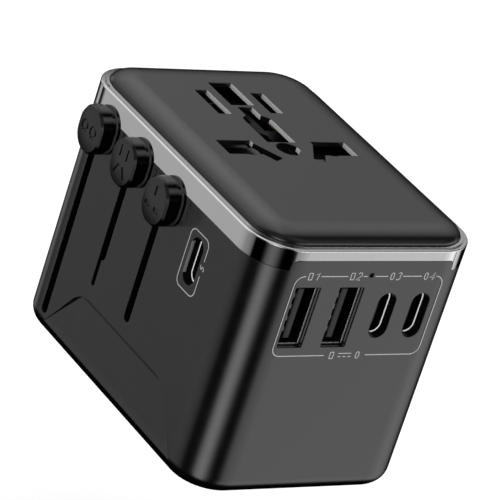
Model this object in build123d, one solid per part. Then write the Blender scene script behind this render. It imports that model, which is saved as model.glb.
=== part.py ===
"""Universal travel adapter: a plug-in block with a multi-country outlet on one end and three sliding
plugs (two round pins, two twisting blades, three rectangular pins) that come out of the other end.

Frame: +Z is the outlet normal and z = 0 is the pin face. -Y is the face with the front USB ports and
-X is the face with the three plug sliders. The origin is the centre of the pin face.
"""

from build123d import *
import os

# ---- Outer block ----
BODY_X = 50.2
BODY_Y = 72.2
BODY_Z = 56.0
CORNER_R = 9.4
BOTTOM_R = 3.6
WALL = 2.0
GAP = 0.15
SLIP = 0.1
HALF_X = BODY_X / 2
HALF_Y = BODY_Y / 2

# ---- Floor and base plate ----
FLOOR_Z = 2.4
BASE_INSET = 4.0
BASE_RECESS = 0.3
BASE_TOP = 3.4
BASE_PLAY = 0.12
SCREW_SEAT = 1.95

# ---- Grip recesses low on the side walls ----
GRIP_FOOT_Y = (-28.8, 25.8)
GRIP_FOOT_Z = 1.0
GRIP_LEDGE_Y = (-18.1, 15.1)
GRIP_LEDGE_Z = 14.9
GRIP_LEDGE_SLOPE = 1.1
GRIP_DEEP = 0.8
GRIP_FADE_Z = 2.5
GRIP_CORNER = 7.5

# ---- Chrome band, panel tab and outlet cover ----
BAND_LOW = 49.2
BAND_HIGH = 53.66
BAND_WALL = 1.0
BAND_SEAM = 0.06
BAND_EDGE = 0.32
LIP_HIGH = 53.95
LIP_INSET = 1.55
LIP_INNER = 2.3
LIP_ROOT = (0.1, 0.5)
TONGUE_HIGH = 53.05
TAB_HALF_X = 18.6
TAB_HIGH = 51.5
TAB_R = 1.5
TAB_FOOT = 3.0
TAB_CUT = 4.0
COVER_INSET = 1.65
COVER_EDGE_WIDE = 5.9
COVER_EDGE_HIGH = 2.1
COVER_ROOF = 1.0
COVER_SEAM = 0.08
COVER_LAP = (0.5, 0.05)
SKIRT_OUTER = 2.45
SKIRT_INNER = 3.35
SKIRT_LOW = 50.55
ROOF_INSET = 5.5
ROOF_STEP = 54.3

# ---- Outlet openings ----
US_PITCH = 12.7
US_SLOT_NARROW = 2.95
NEUTRAL_SLOT_Y = (13.0, 22.8)
LIVE_SLOT_Y = (13.8, 22.1)
EARTH_SLOT_X = 2.75
EARTH_SLOT_Y = (16.8, 26.1)
BOTTLE_NECK_X = 1.75
BOTTLE_X = 3.3
BOTTLE_Y = (1.75, 10.6)
BOTTLE_NECK_Y = (12.6, 16.0)
ROUND_Y = -0.95
ROUND_R = 2.5
UK_SLOT_X = (7.0, 15.05)
UK_SLOT_Y = (-3.25, 2.2)
EU_HOLE_X = 9.5
EU_HOLE_R = 2.6
AU_ANGLE = 30
AU_SLOT = (2.4, 8.2)
AU_CENTRE = (6.7, -1.8)

# ---- Sliders on the -X wall ----
SLOT_WIDE = 2.2
SLOT_TOP = 48.6
STEM_WIDE = 1.8
STEM_LOW = 42.8
STEM_HIGH = 48.3
EU_SLOT_Y = 25.3
EU_SLOT_LOW = 4.25
US_SLOT_Y = 12.0
US_SLOT_LOW = 24.0
US_NARROW_WIDE = 1.3
US_NARROW_SHIFT = 0.45
US_NARROW_LOW = 18.0
UK_SLOT_CENTRE_Y = -1.3
UK_SLOT_LOW = 18.0

# ---- Slider buttons ----
KNOB_WIDE = 8.4
KNOB_TALL = 9.9
KNOB_CORNER = 4.15
KNOB_SHIFT = -3.3
KNOB_OUT = 4.7
KNOB_CLEAR = 0.35
KNOB_BEVEL = 0.5
KNOB_BEVEL_INSET = 0.38
KNOB_WAIST = (0.95, 2.05)
KNOB_WAIST_DEEP = 0.7
EU_KNOB_Z = 47.2
US_KNOB_Z = 47.3
UK_KNOB_Z = 46.4
MARK_DEEP = 0.3
MARK_LINE = 0.6
RING_MARK_R = 1.3
RING_MARK_X = 1.6
BLADE_MARK = 2.5
BLADE_MARK_X = 1.25
BLADE_MARK_Y = 1.85
PIN_MARK = (2.1, 1.0)
PIN_MARK_UP = 2.0
PIN_MARK_LEVEL = (1.65, -1.4)

# ---- Slider arms inside the wall ----
ARM_X = (-22.7, -19.5)
ARM_WIDE = 3.0
STEM_END = -20.9
EU_ARM_END = -20.5

# ---- Two-round-pin plug (slides 37.8) ----
EU_BODY_X = 17.6
EU_BODY_Y = (17.6, 31.0)
EU_BODY_R = 5.0
EU_BODY_EDGE = 0.8
EU_BODY_LOW = 20.5
EU_BODY_TOP = 42.6
EU_FLANGE = 1.2
EU_PIN_R = 2.4
EU_PIN_PITCH = 19.0
EU_PIN_TIP = 1.3
EU_PIN_FLAT = 0.5
EU_PIN_ROOT = 29.0
EU_FLOOR = 25.5
EU_BODY_WALL = 2.0

# ---- Twisting blade plug (slides 17.8) ----
US_BAR_X = 11.6
US_BAR_HALF_Y = 4.9
US_BAR_CORNER = 2.0
US_ARM_HIGH = 4.0
US_BAR_LOW = 21.4
US_BAR_TOP = 27.4
US_RETAINER = 1.2
BLADE_TIP = 1.9
BLADE_WIDE = 6.3
BLADE_THICK = 1.5
BLADE_HOLE_R = 1.55
BLADE_HOLE_UP = 4.6
BLADE_BEVEL = 0.4
BLADE_ROOT = 0.5
BLADE_CUT = 4.0
BLADE_TURN_STEPS = 5
HUB_R = 3.7
HUB_CLEAR = 0.2
HUB_LOW = 23.1
HUB_TOP = 27.2

# ---- Three-pin plug (slides 23.8) ----
UK_PITCH = 22.2
UK_EARTH_DY = 22.2
UK_PIN_X = 6.35
UK_PIN_Y = 4.0
UK_EARTH_X = 4.0
UK_EARTH_Y = 8.0
UK_BAR_LOW = 27.4
UK_BAR_TOP = 30.6
UK_PIN_TIP = 6.2
UK_EARTH_TIP = 1.3
UK_PIN_ROOT = 29.6
UK_SLEEVE_LOW = 15.0
UK_SLEEVE_WALL = 0.5
UK_BAR_X = 14.9
UK_BAR_HALF_Y = 3.0
UK_LEG_HALF_X = 3.6
UK_LEG_BEYOND = 5.0
UK_BAR_CORNER = 1.2
PIN_BEVEL = 0.8
PIN_PLAY = 0.3

# ---- USB ports ----
PORT_LOW = 33.0
PORT_HIGH = 45.9
USB_A_X = (-13.45, -3.5)
USB_A_WIDE = 5.7
USB_A_SHELL = 0.35
USB_A_CORNER = (0.3, 0.25, 0.1)
USB_A_TONGUE_X = (-0.8, 0.6)
USB_A_TONGUE_HALF_Z = 5.4
USB_A_CONTACT_Z = (-3.6, -1.2, 1.2, 3.6)
USB_A_CONTACT = (0.25, 1.0)
USB_A_CONTACT_START = 0.5
USB_A_NOSE_BACK = 0.8
USB_A_NOSE_R = 0.5
USB_A_NOSE_LONG = 2.0
USB_C_X = (5.7, 13.55)
USB_C_WIDE = 4.2
USB_C_TALL = 9.7
USB_C_Z = 39.75
SIDE_PORT_Y = -15.6
SIDE_PORT_Z = 39.6
USB_A_SETBACK = 1.0
USB_C_SETBACK = 1.9
USB_C_SHELL = 0.3
USB_C_TONGUE_HALF = (0.35, 3.3)
USB_C_BACK_HALF = (1.3, 3.5)
TONGUE_SETBACK = 0.6
TONGUE_PLAY = 0.05
TONGUE_BEVEL = 0.2
PORT_PLAY = 0.15
PORT_BACK = 0.6
BACK_BLOCK = 2.4
BACK_PLAY = 0.2
USB_BOARD_X = (-17.6, 21.6)
USB_BOARD_Y = (-22.1, -20.6)
USB_BOARD_TOP = 48.4
SIDE_BOARD_X = (-17.4, -16.0)
SIDE_BOARD_FAR_Y = -9.6
SIDE_BOARD_TOP = 47.4
SIDE_BOARD_GAP = 0.8
PORT_BOARD_CORNER = 1.0
LED_Z = 48.5
LED_R = 0.5
LED_SETBACK = 0.5
LED_END_Y = -33.0
LED_HOLE_LONG = 8.0
LED_PLAY = 0.05

# ---- Case screws and ribs ----
SCREW_X = 19.3
SCREW_Y = (18.6, -28.0)
SCREW_R = 0.8
SCREW_HEAD_R = 1.45
SCREW_TOP = 14.0
SCREW_HEAD = (0.7, 1.9)
SCREW_CROSS = (0.4, 1.8, 0.8)
BOSS_R = 1.5
BOSS_TOP = 20.0
RIB_TOP = 48.85
RIB_X = (21.0, 23.4)
RIB_HALF_Y = 1.0

# ---- Outlet contact carrier ----
CARRIER_X = 16.9
CARRIER_Y = (-8.5, 28.5)
CARRIER_LOW = 43.0
CARRIER_TOP = 52.3
CARRIER_CORNER = 2.0
FLANGE_LOW = 49.0
FLANGE_TOP = 50.4
WELL_MARGIN = 0.45
STRAP_DEEP = 0.9

# ---- Outlet contacts ----
LEAF_TOP = 51.4
PIN_LEAF_X = (7.2, 15.4)
PIN_LEAF_Y = (2.75, 3.2)
BLADE_LEAF_X = (8.5, 9.0)
BLADE_LEAF_Y = (13.4, 22.6)
STRAP_X = (8.2, 9.0)
STRAP_HIGH = (0.1, 0.6)
EARTH_LEAF_X = (2.75, 3.05)
EARTH_LEAF_Y = (17.4, 25.6)
EARTH_LEAF_TOP = 50.8
EARTH_STRAP_Y = 26.0
EARTH_STRAP = (0.4, 0.2)
RAIL_X = (16.0, 16.8)
RAIL_Y = (5.2, 6.8)
RAIL_LOW = 8.0
RAIL_FOOT = (17.8, 0.8)

# ---- Shutter ----
SHUTTER_X = 15.6
SHUTTER_Y = (-4.6, 4.0)
SHUTTER_Z = (52.6, 53.4)
SHUTTER_RAMP_X = (6.4, 15.2)
SHUTTER_RAMP_Y = (-4.4, -1.2)
SHUTTER_RAMP_TOP = 54.6
SHUTTER_RAMP_BEVEL = 1.2
SHUTTER_GAP_X = 3.7
BRIDGE_X = 4.4
BRIDGE_Y = (-6.8, -4.4)
BRIDGE_LAP = 0.45
SHUTTER_WINDOW_Y = (-5.0, 5.0)
SPRING_R = 0.9
SPRING_WIRE_R = 0.22
SPRING_PITCH = 0.9
SPRING_LENGTH = 3.6
SPRING_PLACE = (0, -15.4, 53.8)

# ---- Boards ----
BOARD_LOW = 31.0
BOARD_TOP = 32.6
BOARD_X = (-15.5, 22.4)
BOARD_Y = (-17.5, 17.0)
BOARD_CORNER = 1.5
RAIL_NOTCH_X = (15.4, 17.4)
RAIL_NOTCH_Y = (4.6, 7.4)
POST_X = 13.5
POST_Y = (-6.6, 10.0)
POST_R = 1.7
POST_HOLE_R = 0.85
POST_HOLE_TOP = 38.0
BOARD_SCREW_R = 0.75
BOARD_SCREW_TOP = 37.0
BOARD_SCREW_HEAD = (1.4, 1.0)

# ---- Parts on the boards ----
FUSE_Y = 12.6
FUSE_Z = 36.2
FUSE_R = 2.3
FUSE_LONG = 13.0
FUSE_CAP_X = 8.6
FUSE_CAP_R = 2.6
FUSE_CAP_LONG = 4.2
CLIP_HALF_X = 1.6
CLIP_HALF_Y = 3.3
CLIP_SHEET = 0.5
CLIP_TOP = 37.0
CHIP_X = (-8.0, 6.5)
CHIP_SIZE = 6.0
CHIP_HIGH = 1.2
CHIP_BEVEL = 0.25
CAN_X = 19.2
CAN_Y = (-0.6, 11.6)
CAN_R = 3.0
CAN_LOW = 16.0
CAN_EDGE = 0.5

# ---- Transformer ----
CORE_X = (17.2, 20.6)
CORE_Y = (-18.0, -4.0)
CORE_Z = (12.0, 26.0)
CORE_YOKE = 2.6
LIMB_Y = (-12.6, -9.4)
LIMB_GAP = 3.2
COIL_X = (15.6, 22.2)
COIL_PLAY = 0.2
COIL_CORNER = 1.2


def block(x, y, z):
    """A box between two limits on each axis."""
    centre = Pos(sum(x) / 2, sum(y) / 2, sum(z) / 2)
    return centre * Box(x[1] - x[0], y[1] - y[0], z[1] - z[0])


def plan_block(inset, z_low, z_high):
    """A prism with the plan outline of the block, inset all round."""
    outline = RectangleRounded(BODY_X - 2 * inset, BODY_Y - 2 * inset, CORNER_R - inset)
    return Pos(0, 0, z_low) * extrude(outline, z_high - z_low)


def rod(x, y, radius, z_low, z_high):
    """An upright cylinder between two heights."""
    return Pos(x, y, (z_low + z_high) / 2) * Cylinder(radius, z_high - z_low)


def wall_slot(y, wide, z_low, z_high):
    """A round-ended upright cutter through the -X wall."""
    outline = Plane.YZ * Pos(y, (z_low + z_high) / 2) * SlotOverall(z_high - z_low, wide, rotation=90)
    return Pos(-HALF_X - 1, 0, 0) * extrude(outline, WALL + 2)


def front_port(x, z, wide, tall, radius, y_low, y_high):
    """A rounded upright prism that runs along Y, the shape of one front port."""
    outline = Plane.XZ * Pos(x, z) * RectangleRounded(wide, tall, radius)
    return Pos(0, y_high, 0) * extrude(outline, y_high - y_low)


def side_port(y, z, wide, tall, radius, x_low, x_high):
    """A rounded upright prism that runs along X, the shape of the side port."""
    outline = Plane.YZ * Pos(y, z) * RectangleRounded(wide, tall, radius)
    return Pos(x_low, 0, 0) * extrude(outline, x_high - x_low)


def block_pair(side, x, y, z):
    """A box on the +X side, or its mirror image on the -X side."""
    limits = x if side > 0 else (-x[1], -x[0])
    return block(limits, y, z)


def oval(wide):
    """The corner radius that makes a rounded rectangle of this width nearly round-ended."""
    return wide / 2 - 0.01


def grip_recess(side):
    """A shallow finger recess low on a side wall: deepest under its ledge, fading out downwards."""
    skin = side * HALF_X
    outline = Polygon(
        (GRIP_FOOT_Y[0], GRIP_FOOT_Z), (GRIP_LEDGE_Y[0], GRIP_LEDGE_Z),
        (GRIP_LEDGE_Y[1], GRIP_LEDGE_Z), (GRIP_FOOT_Y[1], GRIP_FOOT_Z),
        align=None,
    )
    outline = fillet(outline.vertices().group_by(Axis.Y)[-1], GRIP_CORNER)
    window = extrude(Plane.YZ * outline, GRIP_DEEP + 1, both=True)
    ramp = Polyline(
        (skin, GRIP_LEDGE_Z), (skin - side * GRIP_DEEP, GRIP_LEDGE_Z - GRIP_LEDGE_SLOPE), (skin, GRIP_FADE_Z),
        (skin + side, GRIP_FADE_Z), (skin + side, GRIP_LEDGE_Z),
        close=True,
    )
    wedge = extrude(Plane.XZ * make_face(ramp), HALF_Y, both=True)
    return Pos(skin, 0, 0) * window & wedge


def screw_places():
    """The four case screw centres."""
    return [(side * SCREW_X, y) for side in (-1, 1) for y in SCREW_Y]


def body_shell():
    """Side walls, rounded bottom edge and floor ring, with slider slots, ports and inner ribs."""
    outer = plan_block(0, 0, BAND_LOW)
    outer = fillet(outer.edges().group_by(Axis.Z)[0], BOTTOM_R)
    shell = outer + plan_block(BAND_WALL + GAP, BAND_LOW - 1, TONGUE_HIGH)
    shell += panel_tab(TAB_HALF_X, TAB_HIGH, TAB_R, BAND_WALL + 2 * GAP)
    shell -= plan_block(WALL, FLOOR_Z, BODY_Z)
    shell -= plan_block(BASE_INSET, -1, FLOOR_Z + 1)
    for side in (-1, 1):
        shell -= grip_recess(side)
    for x, y in screw_places():
        shell += screw_boss(x, y)
        shell -= rod(x, y, SCREW_R + SLIP, BASE_TOP, SCREW_TOP + 1)
    shell -= wall_slot(EU_SLOT_Y, SLOT_WIDE, EU_SLOT_LOW, SLOT_TOP)
    shell -= wall_slot(US_SLOT_Y, SLOT_WIDE, US_SLOT_LOW, SLOT_TOP)
    shell -= wall_slot(US_SLOT_Y + US_NARROW_SHIFT, US_NARROW_WIDE, US_NARROW_LOW, US_SLOT_LOW + SLOT_WIDE)
    shell -= wall_slot(UK_SLOT_CENTRE_Y, SLOT_WIDE, UK_SLOT_LOW, SLOT_TOP)
    through_y = (-HALF_Y - 1, -HALF_Y + WALL + 1)
    for x in USB_A_X:
        middle = (PORT_LOW + PORT_HIGH) / 2
        shell -= front_port(x, middle, USB_A_WIDE, PORT_HIGH - PORT_LOW, USB_A_CORNER[0], *through_y)
    for x in USB_C_X:
        shell -= front_port(x, USB_C_Z, USB_C_WIDE, USB_C_TALL, oval(USB_C_WIDE), *through_y)
    through_x = (-HALF_X - 1, -HALF_X + WALL + 1)
    shell -= side_port(SIDE_PORT_Y, SIDE_PORT_Z, USB_C_WIDE, USB_C_TALL, oval(USB_C_WIDE), *through_x)
    return shell - Pos(0, -HALF_Y, LED_Z) * Rot(90, 0, 0) * Cylinder(LED_R, LED_HOLE_LONG)


def screw_boss(x, y):
    """A tall rib from the side wall with a round boss for one case screw."""
    side = 1 if x > 0 else -1
    low = BASE_TOP + GAP
    boss = block_pair(side, RIB_X, (y - RIB_HALF_Y, y + RIB_HALF_Y), (low, RIB_TOP))
    boss += block_pair(side, (SCREW_X, RIB_X[0]), (y - RIB_HALF_Y, y + RIB_HALF_Y), (low, BOSS_TOP))
    return boss + rod(x, y, BOSS_R, low, BOSS_TOP)


def panel_tab(half_x, high, radius, deep):
    """The front panel's raised tab, which interrupts the band, with rounded upper corners."""
    low = BAND_LOW - TAB_FOOT
    outline = Pos(0, (low + high) / 2) * RectangleRounded(2 * half_x, high - low, radius)
    tab = Pos(0, -HALF_Y + deep, 0) * extrude(Plane.XZ * outline, deep)
    return tab & plan_block(0, BAND_LOW - 1, BODY_Z)


def chrome_band():
    """The polished ring round the outlet end: flush side wall, then a low step up to its inner lip."""
    ring = plan_block(0, BAND_LOW + BAND_SEAM, BAND_HIGH)
    ring = fillet(ring.edges().group_by(Axis.Z)[-1], BAND_EDGE)
    ring += plan_block(BAND_WALL - LIP_ROOT[0], BAND_HIGH - LIP_ROOT[1], LIP_HIGH)
    ring -= plan_block(BAND_WALL, 0, TONGUE_HIGH + GAP)
    ring -= plan_block(LIP_INSET, BAND_HIGH, BODY_Z)
    ring -= plan_block(LIP_INNER, 0, BODY_Z)
    ring -= panel_tab(TAB_HALF_X + BAND_SEAM, TAB_HIGH + BAND_SEAM, TAB_R, TAB_CUT)
    return ring


def au_slot(side, grow=0):
    """One slanted opening; the pair converges toward the front face."""
    shape = Rectangle(AU_SLOT[0] + 2 * grow, AU_SLOT[1] + 2 * grow)
    return Pos(side * AU_CENTRE[0], AU_CENTRE[1]) * Rot(0, 0, -side * AU_ANGLE) * shape


def line_opening(side, grow=0):
    """One live or neutral opening: a rectangle, a round pin hole and a slanted blade slot in one."""
    centre = Pos(side * sum(UK_SLOT_X) / 2, sum(UK_SLOT_Y) / 2)
    shape = centre * Rectangle(UK_SLOT_X[1] - UK_SLOT_X[0] + 2 * grow, UK_SLOT_Y[1] - UK_SLOT_Y[0] + 2 * grow)
    shape += Pos(side * EU_HOLE_X, ROUND_Y) * Circle(EU_HOLE_R + grow)
    return shape + au_slot(side, grow)


def blade_opening(side, y, grow=0):
    """One upright blade slot."""
    centre = Pos(side * US_PITCH / 2, sum(y) / 2)
    return centre * Rectangle(US_SLOT_NARROW + 2 * grow, y[1] - y[0] + 2 * grow)


def bottle_opening(grow=0):
    """The middle opening: a wide lower part, round shoulders and a narrow neck."""
    wide = BOTTLE_X + grow
    neck = BOTTLE_NECK_X + grow
    low = BOTTLE_Y[0] - grow
    top = BOTTLE_NECK_Y[1] + grow
    right = [
        Line((neck, top), (neck, BOTTLE_NECK_Y[0])),
        Spline((neck, BOTTLE_NECK_Y[0]), (wide, BOTTLE_Y[1]), tangents=((0.9, -0.6), (0, -1))),
        Line((wide, BOTTLE_Y[1]), (wide, low)),
    ]
    left = [mirror(edge, Plane.YZ) for edge in right]
    ends = [Line((-neck, top), (neck, top)), Line((-wide, low), (wide, low))]
    return make_face(right + left + ends)


def earth_opening(grow=0):
    """The large upright earth slot."""
    centre = Pos(0, sum(EARTH_SLOT_Y) / 2)
    return centre * Rectangle(2 * EARTH_SLOT_X + 2 * grow, EARTH_SLOT_Y[1] - EARTH_SLOT_Y[0] + 2 * grow)


def outlet_openings(grow=0):
    """Every opening of the outlet face, as flat shapes."""
    shapes = [line_opening(-1, grow), line_opening(1, grow)]
    shapes += [blade_opening(-1, NEUTRAL_SLOT_Y, grow), blade_opening(1, LIVE_SLOT_Y, grow)]
    shapes += [earth_opening(grow), bottle_opening(grow), Pos(0, ROUND_Y) * Circle(ROUND_R + grow)]
    return shapes


def outlet_cover():
    """The black cap with its soft elliptical edge, thin roof, fitting skirt and outlet openings."""
    squash = COVER_EDGE_HIGH / COVER_EDGE_WIDE
    skim = 0.02
    crown = plan_block(COVER_INSET, 0, COVER_EDGE_WIDE + skim)
    crown = fillet(crown.edges().group_by(Axis.Z)[-1], COVER_EDGE_WIDE)
    crown = Pos(0, 0, BODY_Z - COVER_EDGE_HIGH) * scale(crown, by=(1, 1, squash))
    cover = crown & plan_block(0, 0, BODY_Z)
    cover += plan_block(SKIRT_OUTER, SKIRT_LOW, BODY_Z - COVER_EDGE_HIGH + COVER_LAP[0])
    cover += plan_block(COVER_INSET, BAND_HIGH + COVER_SEAM, BODY_Z - COVER_EDGE_HIGH + COVER_LAP[1])
    cover -= plan_block(SKIRT_INNER, 0, ROOF_STEP)
    cover -= plan_block(ROOF_INSET, 0, BODY_Z - COVER_ROOF)
    for shape in outlet_openings():
        cover -= Pos(0, 0, ROOF_STEP) * extrude(shape, BODY_Z)
    return cover


def plate_opening(x, y, wide, deep, turn=0):
    """A rectangular cutter through the base plate, with play round a pin of this size."""
    opening = Rectangle(wide + 2 * PIN_PLAY, deep + 2 * PIN_PLAY)
    return Pos(x, y, -1) * Rot(0, 0, turn) * extrude(opening, BASE_TOP + 2)


def base_plate():
    """The inset pin-face plate, with an opening for every sliding pin and four screw seats."""
    plate = plan_block(BASE_INSET + BASE_PLAY, BASE_RECESS, BASE_TOP)
    plate += plan_block(WALL + GAP, FLOOR_Z, BASE_TOP)
    deep = EU_BODY_Y[1] - EU_BODY_Y[0]
    well = RectangleRounded(2 * (EU_BODY_X + PIN_PLAY), deep + 2 * PIN_PLAY, EU_BODY_R)
    plate -= Pos(0, sum(EU_BODY_Y) / 2, -1) * extrude(well, BASE_TOP + 2)
    turns = [AU_ANGLE * step / BLADE_TURN_STEPS for step in range(BLADE_TURN_STEPS + 1)]
    for side in (-1, 1):
        for turn in turns:
            plate -= plate_opening(side * US_PITCH / 2, US_SLOT_Y, BLADE_THICK, BLADE_WIDE, side * turn)
        plate -= plate_opening(side * UK_PITCH / 2, UK_SLOT_CENTRE_Y, UK_PIN_X, UK_PIN_Y)
    plate -= plate_opening(0, UK_SLOT_CENTRE_Y - UK_EARTH_DY, UK_EARTH_X, UK_EARTH_Y)
    for x, y in screw_places():
        plate -= rod(x, y, SCREW_R + GAP, -1, BASE_TOP + 1)
        plate -= rod(x, y, SCREW_HEAD_R + GAP, -1, SCREW_SEAT)
    return plate


def case_screws():
    """Four pan-head screws with cross recesses, driven up through the base plate."""
    screws = []
    for x, y in screw_places():
        screw = rod(x, y, SCREW_R, SCREW_HEAD[1], SCREW_TOP) + rod(x, y, SCREW_HEAD_R, *SCREW_HEAD)
        for turn in (0, 90):
            screw -= Pos(x, y, SCREW_HEAD[0] + 0.2) * Rot(0, 0, turn) * Box(*SCREW_CROSS)
        screws.append(screw)
    return screws


def knob(slot_y, z, mark):
    """A slider button: bevelled cap, waist and foot plate outside the wall, on a stem through its slot."""
    y = slot_y + KNOB_SHIFT
    skin = -HALF_X

    def layer(near, far, inset=0):
        """One slice of the button between two distances from the wall."""
        outline = RectangleRounded(KNOB_WIDE - 2 * inset, KNOB_TALL - 2 * inset, KNOB_CORNER - inset)
        return Pos(skin - far, 0, 0) * extrude(Plane.YZ * Pos(y, z) * outline, far - near)

    cap = layer(KNOB_WAIST[1], KNOB_OUT)
    outer = cap.faces().sort_by(Axis.X)[0]
    cap = chamfer(outer.edges(), KNOB_BEVEL_INSET, KNOB_BEVEL, reference=outer)
    button = cap + layer(KNOB_WAIST[0], KNOB_WAIST[1], KNOB_WAIST_DEEP) + layer(KNOB_CLEAR, KNOB_WAIST[0])
    stem = SlotOverall(STEM_HIGH - STEM_LOW, STEM_WIDE, rotation=90)
    stem = Plane.YZ * Pos(slot_y, (STEM_LOW + STEM_HIGH) / 2) * stem
    button += Pos(skin - KNOB_WAIST[0], 0, 0) * extrude(stem, STEM_END - skin + KNOB_WAIST[0])
    for shape in mark:
        outline = Plane.YZ * Pos(y, z) * shape
        button -= Pos(skin - KNOB_OUT - 1, 0, 0) * extrude(outline, 1 + MARK_DEEP)
    return button


def ring_mark(x, y, radius):
    """A round pin drawn as an engraved ring."""
    return Pos(x, y) * (Circle(radius) - Circle(radius - MARK_LINE))


def bar_mark(x, y, wide, tall, turn=0):
    """A flat pin drawn as an engraved bar."""
    return Pos(x, y) * Rot(0, 0, turn) * Rectangle(wide, tall)


def eu_mark():
    """Two round pins."""
    return [ring_mark(side * RING_MARK_X, 0, RING_MARK_R) for side in (-1, 1)]


def us_mark():
    """Two parallel blades above two slanted ones."""
    marks = []
    for side in (-1, 1):
        marks.append(bar_mark(side * BLADE_MARK_X, BLADE_MARK_Y, MARK_LINE, BLADE_MARK))
        marks.append(bar_mark(side * BLADE_MARK_X, -BLADE_MARK_Y, MARK_LINE, BLADE_MARK, side * AU_ANGLE))
    return marks


def uk_mark():
    """One upright pin above two level ones."""
    marks = [bar_mark(0, PIN_MARK_UP, PIN_MARK[1], PIN_MARK[0])]
    level_x, level_y = PIN_MARK_LEVEL
    return marks + [bar_mark(side * level_x, level_y, PIN_MARK[0], PIN_MARK[1]) for side in (-1, 1)]


def eu_plug_body():
    """The round-pin plug block: an open-topped hollow box with a stop flange and an arm to its button."""
    x = (-EU_BODY_X, EU_BODY_X)
    outline = RectangleRounded(2 * EU_BODY_X, EU_BODY_Y[1] - EU_BODY_Y[0], EU_BODY_R)
    box = Pos(0, sum(EU_BODY_Y) / 2, EU_BODY_LOW) * extrude(outline, EU_BODY_TOP - EU_BODY_LOW)
    box = fillet(box.edges().group_by(Axis.Z)[0], EU_BODY_EDGE)
    inner_x = (x[0] + EU_BODY_WALL, x[1] - EU_BODY_WALL)
    inner_y = (EU_BODY_Y[0] + EU_BODY_WALL, EU_BODY_Y[1] - EU_BODY_WALL)
    box -= block(inner_x, inner_y, (EU_FLOOR, EU_BODY_TOP + 1))
    y = (EU_SLOT_Y - ARM_WIDE / 2, EU_SLOT_Y + ARM_WIDE / 2)
    box += block((ARM_X[0], x[0] + 1), y, (EU_BODY_TOP - EU_FLANGE, EU_BODY_TOP))
    box += block((ARM_X[0], EU_ARM_END), y, (EU_BODY_TOP - EU_FLANGE, STEM_HIGH))
    return box - eu_pins() - button_socket(EU_SLOT_Y)


def button_socket(slot_y):
    """The pocket in an arm that takes a button's stem."""
    half = STEM_WIDE / 2
    return block((ARM_X[0] - 1, STEM_END), (slot_y - half, slot_y + half), (STEM_LOW, STEM_HIGH + 1))


def eu_pins():
    """Two round pins with domed tips."""
    pins = Part()
    for side in (-1, 1):
        pin = rod(side * EU_PIN_PITCH / 2, sum(EU_BODY_Y) / 2, EU_PIN_R, EU_PIN_TIP, EU_PIN_ROOT)
        pins += fillet(pin.edges().group_by(Axis.Z)[0], EU_PIN_R - EU_PIN_FLAT)
    return pins


def us_carriage():
    """The bar that carries the two blade hubs, with an arm to its button."""
    y = (US_SLOT_Y - US_BAR_HALF_Y, US_SLOT_Y + US_BAR_HALF_Y)
    bar = block((-US_BAR_X, US_BAR_X), y, (US_BAR_LOW, US_BAR_TOP))
    bar = fillet(bar.edges().filter_by(Axis.Z), US_BAR_CORNER)
    arm = (US_SLOT_Y - ARM_WIDE / 2, US_SLOT_Y + ARM_WIDE / 2)
    bar += block((ARM_X[0], -US_BAR_X + 1), arm, (US_BAR_LOW, US_BAR_LOW + US_ARM_HIGH))
    bar += block(ARM_X, arm, (US_BAR_LOW, STEM_HIGH))
    for side in (-1, 1):
        x = side * US_PITCH / 2
        bar -= rod(x, US_SLOT_Y, HUB_R + HUB_CLEAR, HUB_LOW - HUB_CLEAR, US_BAR_TOP + 1)
        bar -= rod(x, US_SLOT_Y, BLADE_WIDE / 2 + PIN_PLAY, US_BAR_LOW - 1, US_BAR_TOP)
    return bar - button_socket(US_SLOT_Y)


def us_blade_retainer():
    """The cover strip that keeps both hubs in the bar."""
    inset = 0.3
    y = (US_SLOT_Y - US_BAR_HALF_Y + inset, US_SLOT_Y + US_BAR_HALF_Y - inset)
    strip = block((-US_BAR_X + inset, US_BAR_X - inset), y, (US_BAR_TOP, US_BAR_TOP + US_RETAINER))
    return fillet(strip.edges().filter_by(Axis.Z), US_BAR_CORNER - inset)


def us_blade(side):
    """One flat blade with its hole, on the round hub that lets it twist."""
    x = side * US_PITCH / 2
    half = (BLADE_THICK / 2, BLADE_WIDE / 2)
    y = (US_SLOT_Y - half[1], US_SLOT_Y + half[1])
    blade = block((x - half[0], x + half[0]), y, (BLADE_TIP, HUB_LOW + BLADE_ROOT))
    blade = chamfer(blade.edges().group_by(Axis.Z)[0], BLADE_BEVEL)
    blade += rod(x, US_SLOT_Y, HUB_R, HUB_LOW, HUB_TOP)
    hole = Pos(x, US_SLOT_Y, BLADE_TIP + BLADE_HOLE_UP) * Rot(0, 90, 0) * Cylinder(BLADE_HOLE_R, BLADE_CUT)
    return blade - hole


def uk_carriage():
    """The T-shaped carrier of the three rectangular pins, with an arm to its button."""
    y = UK_SLOT_CENTRE_Y
    z = (UK_BAR_LOW, UK_BAR_TOP)
    plate = block((-UK_BAR_X, UK_BAR_X), (y - UK_BAR_HALF_Y, y + UK_BAR_HALF_Y), z)
    plate += block((-UK_LEG_HALF_X, UK_LEG_HALF_X), (y - UK_EARTH_DY - UK_LEG_BEYOND, y), z)
    plate = fillet(plate.edges().filter_by(Axis.Z), UK_BAR_CORNER)
    arm = (y - ARM_WIDE / 2, y + ARM_WIDE / 2)
    plate += block((ARM_X[0], 1 - UK_BAR_X), arm, z)
    plate += block(ARM_X, arm, (UK_BAR_LOW, STEM_HIGH))
    plate -= uk_line_pins()
    plate -= uk_earth_pin()
    return plate - button_socket(y)


def flat_pin(x, y, wide, deep, z_low, z_high):
    """An upright rectangular pin with a bevelled tip."""
    pin = block((x - wide / 2, x + wide / 2), (y - deep / 2, y + deep / 2), (z_low, z_high))
    return chamfer(pin.edges().group_by(Axis.Z)[0], PIN_BEVEL)


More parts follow.
